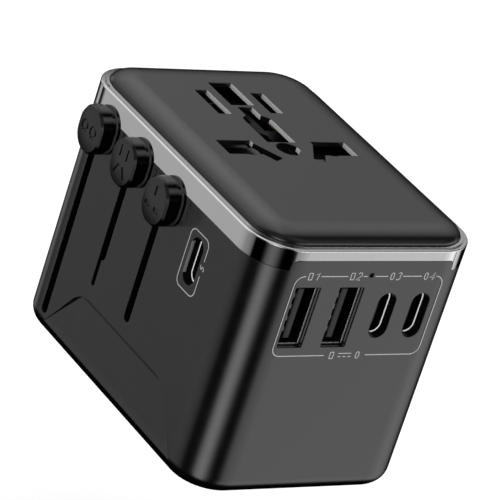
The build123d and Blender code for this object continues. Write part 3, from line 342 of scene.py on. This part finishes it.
def knob_black(name, knob):
    """Glossy black of one slider knob: a slightly domed outer face, painted shade on its sides and a painted
    glint on its upper front corner.

    Mirror rays that start on the band pass through, so the plating stays clean; others see it faintly.
    """
    low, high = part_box(knob)
    centre = (low + high) / 2
    material, g = new_material(name)
    place = g.place()
    mirrored = g.mirrored()
    patchy = g.noise(place, PATCH_SCALE, 4.0, 0.6)
    mottle = g.vary(patchy)
    colour = g.mix(mottle, (0.0025, 0.0025, 0.0026), (0.004, 0.004, 0.0041))
    parts = g.add("ShaderNodeSeparateXYZ", {0: place})
    across = g.math("MULTIPLY_ADD", parts.outputs["Y"], 1 / MM, -centre.y / MM)
    upward = g.math("MULTIPLY_ADD", parts.outputs["Z"], 1 / MM, -centre.z / MM)
    spread = g.math("ADD", g.math("MULTIPLY", across, across), g.math("MULTIPLY", upward, upward))
    soft = g.add("ShaderNodeBevel", {"Radius": 0.1 * MM}, samples=6).outputs[0]
    ripple = g.noise(place, 700.0, 2.0, 0.6)
    fine = g.add("ShaderNodeBump", {"Distance": 3e-6, "Height": ripple, "Normal": soft})
    dome_inputs = {"Distance": KNOB_DOME, "Height": spread, "Normal": fine.outputs[0]}
    dome = g.add("ShaderNodeBump", dome_inputs, invert=True).outputs[0]
    gloss = g.vary(patchy, 0.14, 0.19)
    inputs = {"Base Color": colour, "Roughness": gloss, "IOR": PLASTIC_IOR, "Normal": dome}
    lit = g.add("ShaderNodeBsdfPrincipled", {**inputs, "Specular IOR Level": 0.75})
    # Painted shade: by the mirror ray's azimuth the gloss gives way to a near-black diffuse, darkening the
    # knob's sides.
    dark = g.add("ShaderNodeBsdfDiffuse", {"Color": (0.0012, 0.0012, 0.0012, 1.0)})
    cards = azimuth_ramp(g, mirrored, KNOB_PAINTED_SHADE)
    face = g.add("ShaderNodeMixShader", {0: cards, 1: dark.outputs[0], 2: lit.outputs[0]})
    # Painted glint: a pale gloss on the upper front corner, for rising mirror rays in a band of azimuths.
    rise = g.add("ShaderNodeSeparateXYZ", {0: mirrored}).outputs["Z"]
    climb = g.spread(rise, 0.0, 0.45, 0.5, 0.8)
    corner = g.math("MULTIPLY", climb, azimuth_ramp(g, mirrored, KNOB_PAINTED_GLINT))
    painted_glint_inputs = {"Color": (0.9, 0.9, 0.9, 1.0), "Roughness": gloss, "Normal": dome}
    painted_glint = g.add("ShaderNodeBsdfGlossy", painted_glint_inputs)
    face = g.add("ShaderNodeMixShader", {0: corner, 1: face.outputs[0], 2: painted_glint.outputs[0]})
    path = g.add("ShaderNodeLightPath")
    mirror_ray = path.outputs["Is Glossy Ray"]
    clear = g.add("ShaderNodeBsdfTransparent")
    ghost = g.add("ShaderNodeMixShader", {0: KNOB_GHOST, 1: dark.outputs[0], 2: clear.outputs[0]})
    face = g.add("ShaderNodeMixShader", {0: mirror_ray, 1: face.outputs[0], 2: ghost.outputs[0]})
    geometry = g.add("ShaderNodeNewGeometry")
    back = g.add("ShaderNodeVectorMath", {0: geometry.outputs["Incoming"]}, operation="SCALE")
    g.link(path.outputs["Ray Length"], back.inputs["Scale"])
    here = geometry.outputs["Position"]
    start = g.add("ShaderNodeVectorMath", {0: here, 1: back.outputs[0]}, operation="ADD")
    start_height = g.add("ShaderNodeSeparateXYZ", {0: start.outputs[0]}).outputs["Z"]
    from_band = g.math("MULTIPLY", mirror_ray, g.math("GREATER_THAN", start_height, BAND_FOOT))
    face = g.add("ShaderNodeMixShader", {0: from_band, 1: face.outputs[0], 2: clear.outputs[0]})
    g.output(face)
    return material


def bright_nickel(name, mouth):
    """Bright plated port metal whose rolled rim, the faces toward -mouth, catches the front light."""
    material, g = new_material(name)
    place = g.place()
    haze = g.noise(place, 900.0, 3.0, 0.6)
    colour = g.mix(g.vary(haze), (0.93, 0.93, 0.93), (0.84, 0.84, 0.84))
    gloss = g.vary(haze, 0.12, 0.2)
    shader = g.add("ShaderNodeBsdfPrincipled", {"Base Color": colour, "Roughness": gloss, "Metallic": 1.0})
    normal = g.add("ShaderNodeNewGeometry").outputs["Normal"]
    outward = g.add("ShaderNodeSeparateXYZ", {0: normal}).outputs[mouth]
    rim = g.math("LESS_THAN", outward, -RIM_FACING)
    lean = g.add("ShaderNodeCombineXYZ", dict(enumerate(RIM_NORMAL))).outputs[0]
    rolled = g.mix(rim, normal, lean)
    bump = g.add("ShaderNodeBump", {"Strength": 0.3, "Distance": 1e-6, "Height": haze, "Normal": rolled})
    g.link(bump.outputs[0], shader.inputs["Normal"])
    g.output(shader)
    return material


def circuit_board(name):
    """Green solder mask over copper tracks, with pale pads."""
    material, g = new_material(name)
    place = g.place()
    cells = g.add("ShaderNodeTexVoronoi", {"Vector": place, "Scale": 420.0}, distance="MANHATTAN")
    tracks = g.ramp(cells.outputs["Distance"], [(0.0, 0.0), (0.42, 0.0), (0.47, 1.0), (0.6, 1.0)])
    dots = g.add("ShaderNodeTexVoronoi", {"Vector": place, "Scale": 700.0}).outputs["Distance"]
    pads = g.ramp(dots, [(0.0, 1.0), (0.16, 1.0), (0.2, 0.0)])
    colour = g.mix(tracks, (0.012, 0.09, 0.035), (0.03, 0.17, 0.06))
    colour = g.mix(pads, colour, (0.55, 0.55, 0.5))
    shader = g.add("ShaderNodeBsdfPrincipled", {"Base Color": colour, "Metallic": pads})
    g.link(g.spread(g.noise(place, 500.0), 0.25, 0.4), shader.inputs["Roughness"])
    bump = g.add("ShaderNodeBump", {"Strength": 0.4, "Distance": 3e-5, "Height": tracks})
    g.link(bump.outputs[0], shader.inputs["Normal"])
    g.output(shader)
    return material


def wound_tape(name, shade):
    """Wrapped tape over a coil: shallow bands round it."""
    material, g = new_material(name)
    place = g.place()
    wave_inputs = {"Vector": place, "Scale": 160.0, "Distortion": 1.2}
    bands = g.add("ShaderNodeTexWave", wave_inputs, bands_direction="Z")
    wave = bands.outputs["Fac"]
    colour = g.mix(wave, tuple(c * 0.7 for c in shade), shade)
    shader = g.add("ShaderNodeBsdfPrincipled", {"Base Color": colour, "Roughness": 0.35})
    bump = g.add("ShaderNodeBump", {"Strength": 0.5, "Distance": 8e-5, "Height": wave})
    g.link(bump.outputs[0], shader.inputs["Normal"])
    g.output(shader)
    return material


def clear_glass(name, shade, rough):
    """Clear or smoked glass with a little surface haze."""
    material, g = new_material(name)
    place = g.place()
    haze = g.spread(g.noise(place, 900.0), rough, rough + 0.08)
    inputs = {"Base Color": (*shade, 1.0), "Roughness": haze, "Transmission Weight": 0.9, "IOR": 1.5}
    shader = g.add("ShaderNodeBsdfPrincipled", inputs)
    g.output(shader)
    return material


def print_ink(name):
    """Pale screen-print ink with slightly uneven coverage."""
    material, g = new_material(name)
    place = g.place()
    cover = g.spread(g.noise(place, 5000.0, 3.0, 0.7), 0.0, 1.0, 0.3, 0.6)
    colour = g.mix(cover, (0.5, 0.5, 0.5), (0.78, 0.78, 0.78))
    gloss = g.spread(cover, 0.55, 0.4)
    shader = g.add("ShaderNodeBsdfPrincipled", {"Base Color": colour, "Roughness": gloss})
    g.output(shader)
    return material


# ---------------------------------------------------------------- materials on the CAD nodes
def finish_nodes():
    """Gives every CAD node its material."""
    satin = surface(
        "satin_black", CASE_BLACK, (0.18, 0.22), grain=(CASE_GRAIN, 2.5e-6), edge=CASE_EDGE,
        round_edge=CASE_ROUND, specular=CASE_SPECULAR, walls=PORT_PAINTED_WALLS, grip=True,
    )
    cover = surface(
        "cover_black", CASE_BLACK, (0.19, 0.23), grain=(CASE_GRAIN, 1.2e-6), edge=CASE_EDGE,
        round_edge=CASE_ROUND, specular=CASE_SPECULAR, walls=COVER_PAINTED_WALLS,
    )
    floor_black = surface(
        "moulded_black", (0.03, 0.03, 0.0305), (0.4, 0.48), grain=(5000.0, 8e-6),
        edge=((0.06, 0.06, 0.06), 0.35, 0.3 * MM), round_edge=0.15 * MM, specular=0.7,
    )
    inner = surface(
        "inner_black", (0.008, 0.008, 0.0082), (0.38, 0.5), grain=(4000.0, 1e-5),
        edge=((0.03, 0.03, 0.03), 0.3, 0.2 * MM), round_edge=0.12 * MM,
    )
    plug = surface(
        "plug_black", (0.022, 0.022, 0.0225), (0.34, 0.42), grain=(5000.0, 6e-6),
        edge=((0.05, 0.05, 0.05), 0.3, 0.25 * MM), round_edge=0.15 * MM, specular=0.7,
    )
    ferrite = surface("ferrite", (0.05, 0.05, 0.055), (0.5, 0.7), grain=(2500.0, 3e-5), mottle=0.25)
    sleeve = surface("can_sleeve", (0.02, 0.03, 0.05), (0.2, 0.3), grain=(900.0, 5e-6), mottle=0.15)
    nickel = brushed("nickel", (0.56, 0.56, 0.555), (0.16, 0.26), "Z")
    steel = brushed("steel", (0.55, 0.55, 0.56), (0.2, 0.32), "X")
    brass = brushed("brass", (0.75, 0.56, 0.26), (0.2, 0.32), "Z")
    board = circuit_board("circuit_board")
    plan = {
        satin: ["body_shell"],
        cover: ["outlet_cover", "shutter"],
        floor_black: ["base_plate"],
        chrome("chrome_plating"): ["chrome_band"],
        knob_black("eu_knob_black", "eu_knob"): ["eu_knob"],
        knob_black("us_knob_black", "us_knob"): ["us_knob"],
        knob_black("uk_knob_black", "uk_knob"): ["uk_knob"],
        inner: [
            "contact_carrier", "usb_a_tongues", "usb_c_tongues", "side_port_tongue", "controller_chips",
        ],
        plug: ["eu_plug_body", "us_carriage", "us_blade_retainer", "uk_carriage", "uk_pin_sleeves"],
        ferrite: ["transformer_core"],
        sleeve: ["capacitors"],
        nickel: [
            "earth_contact", "usb_a_shells", "usb_a_contacts", "fuse_caps", "eu_pins", "uk_earth_pin",
        ],
        bright_nickel("front_port_nickel", "Y"): ["usb_c_shells"],
        bright_nickel("side_port_nickel", "X"): ["side_port_shell"],
        steel: ["case_screws", "board_screws", "shutter_spring"],
        brass: [
            "neutral_contact", "live_contact", "neutral_rail", "live_rail", "fuse_clips", "us_blade_left",
            "us_blade_right", "uk_line_pins",
        ],
        board: ["main_board", "usb_board", "side_board"],
        wound_tape("winding_tape", (0.62, 0.42, 0.05)): ["transformer_winding"],
        clear_glass("clear_glass", (0.95, 0.96, 0.97), 0.02): ["fuse"],
        clear_glass("smoked_glass", (0.02, 0.02, 0.02), 0.1): ["light_pipe"],
    }
    for material, names in plan.items():
        for name in names:
            piece = NODES[name]
            piece.data.materials.clear()
            piece.data.materials.append(material)


# ---------------------------------------------------------------- printed marks
# The ink's stand-off and thickness, the strokes' widths and the numerals' height, in millimetres.
INK_GAP = 0.004
INK_THICK = 0.02
LINE = 0.18
STROKE = 0.16
DIGIT_HIGH = 1.55
SLANT = 0.2
SHORTEST_RUN = 0.05

# The front frame's corners, its labels' centres along the top line and the light's gap between them.
FRONT_FRAME = ((-17.0, 31.2), (17.1, 48.3))
FRONT_FRAME_R = 1.9
LABELS = (-13.2, -3.6, 5.6, 13.5)
LABEL_HALF = 1.75
LABEL_MARK_LEFT = 0.7
LABEL_DIGIT_RIGHT = 0.15
LIGHT_HALF = 0.9
# The sign for direct current in the bottom line: one long bar over three short ones, between two outlines.
SUPPLY_HALF = 4.8
SUPPLY_BAR_HALF = 1.5
SUPPLY_BAR_Z = 31.6
SUPPLY_DASH_Z = 30.9
SUPPLY_DASH = 0.7
SUPPLY_DASH_STEP = 1.15
SUPPLY_MARK_X = 3.0
# Port outlines: width and corner radius of a large and of an oval port; both share one height.
LARGE_MARK = (0.78, 0.1)
OVAL_MARK = (0.68, 0.33)
MARK_TALL = 1.4
# The side frame's corners and its numeral, which is turned a quarter to read from the front edge.
SIDE_FRAME = ((12.4, 33.4), (18.9, 45.5))
SIDE_FRAME_R = 1.5
SIDE_GAP = (38.3, 41.4)
SIDE_DIGIT_HIGH = 1.2
SIDE_DIGIT_AT = (19.5, 39.45)


def on_front(x, z, out):
    """A point on the front face; x and z in millimetres, out in millimetres from it."""
    return Vector((x * MM, FRONT_Y - out * MM, z * MM))


def on_left(a, z, out):
    """A point on the slider face; a, toward the front, and z in millimetres, out in millimetres from it."""
    return Vector((LEFT_X - out * MM, -a * MM, z * MM))


def arc(cx, cy, radius, start, end, steps=8):
    """Points on an arc, angles in degrees."""
    angles = [math.radians(start + (end - start) * k / steps) for k in range(steps + 1)]
    return [(cx + radius * math.cos(a), cy + radius * math.sin(a)) for a in angles]


def ribbon(mesh, points, width, thick, place, closed=False):
    """Adds one flat stroke of ink, a closed thin strip along the points, to the mesh."""
    count = len(points)
    rows = []
    for i, (x, y) in enumerate(points):
        before = points[(i - 1) % count] if closed or i else points[0]
        after = points[(i + 1) % count] if closed or i < count - 1 else points[-1]
        run = Vector((after[0] - before[0], after[1] - before[1])).normalized()
        side = Vector((-run.y, run.x)) * width / 2
        corners = [(side, 0.0), (-side, 0.0), (-side, thick), (side, thick)]
        rows.append([mesh.verts.new(place(x + s.x, y + s.y, out + INK_GAP)) for s, out in corners])
    pairs = list(zip(rows, rows[1:]))
    if closed:
        pairs.append((rows[-1], rows[0]))
    for a, b in pairs:
        for k in range(4):
            mesh.faces.new((a[k], a[(k + 1) % 4], b[(k + 1) % 4], b[k]))
    if not closed:
        mesh.faces.new(rows[0][::-1])
        mesh.faces.new(rows[-1])


def ink_piece(name, strokes, width, place, material):
    """Adds a piece of print: several strokes in one mesh, riding on the housing."""
    mesh = bmesh.new()
    for points, closed in strokes:
        ribbon(mesh, points, width, INK_THICK, place, closed)
    bmesh.ops.recalc_face_normals(mesh, faces=mesh.faces)
    data = bpy.data.meshes.new(name)
    mesh.to_mesh(data)
    mesh.free()
    piece = bpy.data.objects.new(name, data)
    bpy.context.scene.collection.objects.link(piece)
    data.materials.append(material)
    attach(piece, "housing")


def digit(symbol, x, y, high=DIGIT_HIGH):
    """The strokes of one slanted numeral whose lower left corner is at (x, y)."""
    glyphs = {
        "1": [[(0.15, 0.75), (0.5, 1.0), (0.5, 0.0)]],
        "2": [arc(0.35, 0.7, 0.3, 160, -35) + [(0.02, 0.0), (0.68, 0.0)]],
        "3": [arc(0.33, 0.76, 0.25, 150, -80) + arc(0.33, 0.27, 0.28, 80, -150)],
        "4": [[(0.52, 0.0), (0.52, 1.0), (0.0, 0.3), (0.72, 0.3)]],
        "5": [[(0.64, 1.0), (0.16, 1.0), (0.1, 0.55)] + arc(0.33, 0.32, 0.31, 125, -150)],
    }
    strokes = []
    for line in glyphs[symbol]:
        strokes.append(([(x + high * (u + SLANT * v), y + high * v) for u, v in line], False))
    return strokes


def box_mark(x, y, wide, tall, radius):
    """A small rounded box outline, centred, for a port's pictogram."""
    points = []
    for side, end, start in ((1, 1, 0), (-1, 1, 90), (-1, -1, 180), (1, -1, 270)):
        corner_x = x + side * (wide / 2 - radius)
        corner_y = y + end * (tall / 2 - radius)
        points += arc(corner_x, corner_y, radius, start, start + 90, 4)
    return [(points, True)]


def frame_line(low, high, radius, gaps):
    """A rounded rectangle outline with gaps: (side, start, end), where side is top, bottom or right."""
    (x0, y0), (x1, y1) = low, high
    breaks = {"bottom": [], "top": [], "right": []}
    for edge, start, end in gaps:
        breaks[edge].append((start, end))
    bottom = split_line((x0 + radius, y0), (x1 - radius, y0), breaks["bottom"], 0)
    top = split_line((x0 + radius, y1), (x1 - radius, y1), breaks["top"], 0)
    right = split_line((x1, y0 + radius), (x1, y1 - radius), breaks["right"], 1)
    left = split_line((x0, y0 + radius), (x0, y1 - radius), [], 1)
    corners = [
        arc(x1 - radius, y1 - radius, radius, 0, 90),
        arc(x0 + radius, y1 - radius, radius, 90, 180),
        arc(x0 + radius, y0 + radius, radius, 180, 270),
        arc(x1 - radius, y0 + radius, radius, 270, 360),
    ]
    return [(points, False) for points in bottom + top + right + left + corners]


def split_line(start, end, gaps, axis):
    """A straight run between two points with gaps cut from it along one axis."""
    pieces = []
    place = start[axis]
    for low, high in sorted(gaps):
        pieces.append((place, low))
        place = high
    pieces.append((place, end[axis]))
    other = 1 - axis
    lines = []
    for a, b in pieces:
        if b - a > SHORTEST_RUN:
            ends = [[0.0, 0.0], [0.0, 0.0]]
            ends[0][axis], ends[1][axis] = a, b
            ends[0][other] = ends[1][other] = start[other]
            lines.append([tuple(ends[0]), tuple(ends[1])])
    return lines


def port_mark(x, y, shape):
    """A port's small outline, centred."""
    wide, radius = shape
    return box_mark(x, y, wide, MARK_TALL, radius)


def supply_sign(z):
    """The sign for direct current between a large and an oval port outline."""
    strokes = [([(-SUPPLY_BAR_HALF, SUPPLY_BAR_Z), (SUPPLY_BAR_HALF, SUPPLY_BAR_Z)], False)]
    for k in range(3):
        start = -SUPPLY_BAR_HALF + k * SUPPLY_DASH_STEP
        strokes.append(([(start, SUPPLY_DASH_Z), (start + SUPPLY_DASH, SUPPLY_DASH_Z)], False))
    return strokes + port_mark(-SUPPLY_MARK_X, z, LARGE_MARK) + port_mark(SUPPLY_MARK_X, z, OVAL_MARK)


def printed_marks():
    """The pale frames, port pictograms and numerals on the front and slider faces."""
    ink = print_ink("print_ink")
    (_, bottom), (_, top) = FRONT_FRAME
    gaps = [("top", x - LABEL_HALF, x + LABEL_HALF) for x in LABELS]
    gaps += [("top", -LIGHT_HALF, LIGHT_HALF), ("bottom", -SUPPLY_HALF, SUPPLY_HALF)]
    front = frame_line(*FRONT_FRAME, FRONT_FRAME_R, gaps)
    ink_piece("front_print_frame", front, LINE, on_front, ink)
    marks = []
    for index, x in enumerate(LABELS):
        marks += port_mark(x - LABEL_MARK_LEFT, top, OVAL_MARK if index > 1 else LARGE_MARK)
        marks += digit(str(index + 1), x + LABEL_DIGIT_RIGHT, top - DIGIT_HIGH / 2)
    ink_piece("front_print_marks", marks + supply_sign(bottom), STROKE, on_front, ink)
    side = frame_line(*SIDE_FRAME, SIDE_FRAME_R, [("right", *SIDE_GAP)])
    ink_piece("side_print_frame", side, LINE, on_left, ink)
    across, up = SIDE_DIGIT_AT
    number = []
    for points, closed in digit("5", 0, 0, SIDE_DIGIT_HIGH):
        number.append(([(across - y, up + x) for x, y in points], closed))
    ink_piece("side_print_mark", number, STROKE, on_left, ink)


# ---------------------------------------------------------------- studio
DIFFUSE_LIGHT = (0.75, 0.75, 0.75)
FLOOR_HALF = 6.0
FLOOR_Z = -0.046
FLOOR_GLOW = 0.45

# Brightness that level-to-low reflections see, by azimuth in degrees: soft boxes with dark gaps between.
LOW_BOXES = [
    (36, 0.012), (51, 0.014), (62, 0.02), (72, 0.04), (81, 0.09), (88, 0.5), (95, 0.75),
    (102, 0.42), (108, 0.15), (114, 0.15), (119, 0.4), (141, 0.53), (160, 0.48), (169, 0.34),
    (177, 0.03), (199, 0.0), (205, 0.35), (212, 1.6), (222, 2.5), (231, 2.0), (238, 1.0),
    (246, 0.1), (253, 0.0), (266, 0.0), (272, 0.3), (280, 1.0), (309, 1.26), (335, 1.25),
    (356, 0.7), (9, 0.3), (16, 0.02), (28, 0.02),
]
# The same for upward reflections.
HIGH_BOXES = [
    (51, 0.78), (60, 1.2), (75, 1.0), (92, 0.85), (129, 0.7), (150, 0.3), (175, 0.06), (222, 0.25),
    (262, 0.05), (309, 0.35), (345, 0.06), (10, 0.0), (21, 0.4), (32, 0.65), (41, 0.88),
]
# Where the low boxes start, as a direction's height from -1 to 1: a level, its tilt toward the front and
# the soft step round it. Then the heights over which they end and the high boxes come in, on a curve.
LOW_START = -0.648
LOW_START_TILT = -0.2
LOW_START_SOFT = (-0.08, 0.09)
LOW_END = (0.2, 0.42)
HIGH_START = (0.02, 0.6)
HIGH_CURVE = 1.3
# The level direction straight away from the camera; the band's lip on that side is painted dark, a painted
# shade in place of a dark flag's reflection.
AWAY = (0.63, 0.78, 0.0)
AWAY_FADE = (0.006, 0.018)
# Painted shade on the knobs, how much of the gloss they keep by mirror azimuth, and where the painted glint
# sits on their upper front corner.
KNOB_PAINTED_SHADE = [
    (20, 1.0), (200, 1.0), (222, 1.0), (240, 0.5), (258, 0.04), (345, 0.03), (5, 0.5),
]
KNOB_PAINTED_GLINT = [(10, 0.0), (295, 0.0), (320, 0.65), (335, 0.65), (350, 0.0)]
# Painted reflections on the plating: by azimuth, how far its colour is darkened, in place of the dark flags
# and bright cards it would reflect.
CHROME_PAINTED_REFLECTION = [
    (36, 0.8), (51, 1.0), (66, 1.0), (71, 0.5), (77, 0.12), (84, 0.5), (90, 1.0), (102, 1.0),
    (107, 0.12), (114, 0.12), (119, 0.9), (123, 1.0), (128, 0.88), (141, 0.62), (153, 0.45),
    (172, 0.38), (176, 0.02), (205, 0.05), (238, 0.045), (262, 0.03), (274, 0.04), (279, 0.25),
    (291, 0.3), (309, 0.39), (321, 0.55), (333, 0.78), (342, 0.75), (345, 0.1), (349, 1.0),
    (1, 1.0), (8, 0.1), (28, 0.1),
]


def azimuth_ramp(g, direction, boxes):
    """A grey level that depends on the azimuth of a direction."""
    parts = g.add("ShaderNodeSeparateXYZ", {0: direction})
    turn = g.math("ARCTAN2", parts.outputs["Y"], parts.outputs["X"])
    around = g.math("FRACT", g.math("MULTIPLY", turn, 1 / (2 * math.pi)))
    stops = sorted((azimuth / 360, level) for azimuth, level in boxes)
    first, last = stops[0], stops[-1]
    share = (1 - last[0]) / (1 - last[0] + first[0])
    seam = last[1] + (first[1] - last[1]) * share
    ramp = g.ramp(around, stops)
    edge = g.ramp(around, [(0.0, seam), (first[0], first[1]), (last[0], last[1]), (1.0, seam)])
    after_first = g.math("GREATER_THAN", around, first[0])
    before_last = g.math("LESS_THAN", around, last[0])
    return g.mix(g.math("MULTIPLY", after_first, before_last), edge, ramp)


def studio_world():
    """White to the camera, soft even light on matt surfaces, and separate soft boxes in reflections."""
    world = bpy.data.worlds.new("studio")
    bpy.context.scene.world = world
    world.use_nodes = True
    g = Graph(world.node_tree)
    view = g.add("ShaderNodeTexCoord").outputs["Generated"]
    parts = g.add("ShaderNodeSeparateXYZ", {0: view})
    height = parts.outputs["Z"]
    frontward = g.math("MULTIPLY", parts.outputs["Y"], -1.0)
    start = g.math("MULTIPLY_ADD", frontward, LOW_START_TILT, LOW_START)
    start_inputs = {0: g.math("SUBTRACT", height, start), 1: LOW_START_SOFT[0], 2: LOW_START_SOFT[1]}
    started = g.add("ShaderNodeMapRange", start_inputs, interpolation_type="SMOOTHSTEP").outputs[0]
    not_ended = g.spread(height, 1.0, 0.0, *LOW_END)
    low = g.mix(g.math("MULTIPLY", started, not_ended), (0.0, 0.0, 0.0), azimuth_ramp(g, view, LOW_BOXES))
    climb = g.math("POWER", g.spread(height, 0.0, 1.0, *HIGH_START), HIGH_CURVE)
    high = g.mix(climb, (0.0, 0.0, 0.0), azimuth_ramp(g, view, HIGH_BOXES))
    mirror = g.mix(1.0, low, high, "ADD")
    path = g.add("ShaderNodeLightPath")
    soft = g.mix(path.outputs["Is Glossy Ray"], DIFFUSE_LIGHT, mirror)
    colour = g.mix(path.outputs["Is Camera Ray"], soft, (1.0, 1.0, 1.0))
    back = g.add("ShaderNodeBackground", {"Color": colour, "Strength": 1.0})
    g.link(back.outputs[0], g.add("ShaderNodeOutputWorld").inputs[0])


def studio_floor():
    """A pale seamless floor well below the block, so that the plugs can come out above it."""
    data = bpy.data.meshes.new("floor")
    corners = [(x * FLOOR_HALF, y * FLOOR_HALF, FLOOR_Z) for x, y in ((-1, -1), (1, -1), (1, 1), (-1, 1))]
    data.from_pydata(corners, [], [(0, 1, 2, 3)])
    floor = bpy.data.objects.new("floor", data)
    bpy.context.scene.collection.objects.link(floor)
    material, g = new_material("pale_floor")
    diffuse = g.add("ShaderNodeBsdfDiffuse", {"Color": (0.9, 0.9, 0.9, 1.0)})
    glow = g.add("ShaderNodeEmission", {"Color": (1.0, 1.0, 1.0, 1.0), "Strength": FLOOR_GLOW})
    both = g.add("ShaderNodeAddShader")
    g.link(diffuse.outputs[0], both.inputs[0])
    g.link(glow.outputs[0], both.inputs[1])
    under = g.add("ShaderNodeNewGeometry").outputs["Backfacing"]
    one_way = g.add("ShaderNodeMixShader", {0: under, 1: both.outputs[0]})
    g.link(g.add("ShaderNodeBsdfTransparent").outputs[0], one_way.inputs[2])
    g.output(one_way)
    data.materials.append(material)
    floor.visible_glossy = False
    floor.visible_diffuse = False


def studio_camera():
    """The product-shot camera."""
    data = bpy.data.cameras.new("camera")
    data.lens = CAMERA_LENS
    data.sensor_width = SENSOR
    data.clip_start = 0.01
    data.clip_end = 50.0
    camera = bpy.data.objects.new("camera", data)
    bpy.context.scene.collection.objects.link(camera)
    right = CAMERA_RIGHT.normalized()
    back = right.cross(CAMERA_UP).normalized()
    up = back.cross(right)
    axes = Matrix((right, up, back)).transposed().to_4x4()
    camera.matrix_world = Matrix.Translation(CAMERA_AT) @ axes
    bpy.context.scene.camera = camera


finish_nodes()
printed_marks()
studio_world()
studio_floor()
studio_camera()
bpy.context.scene.view_settings.view_transform = "Standard"
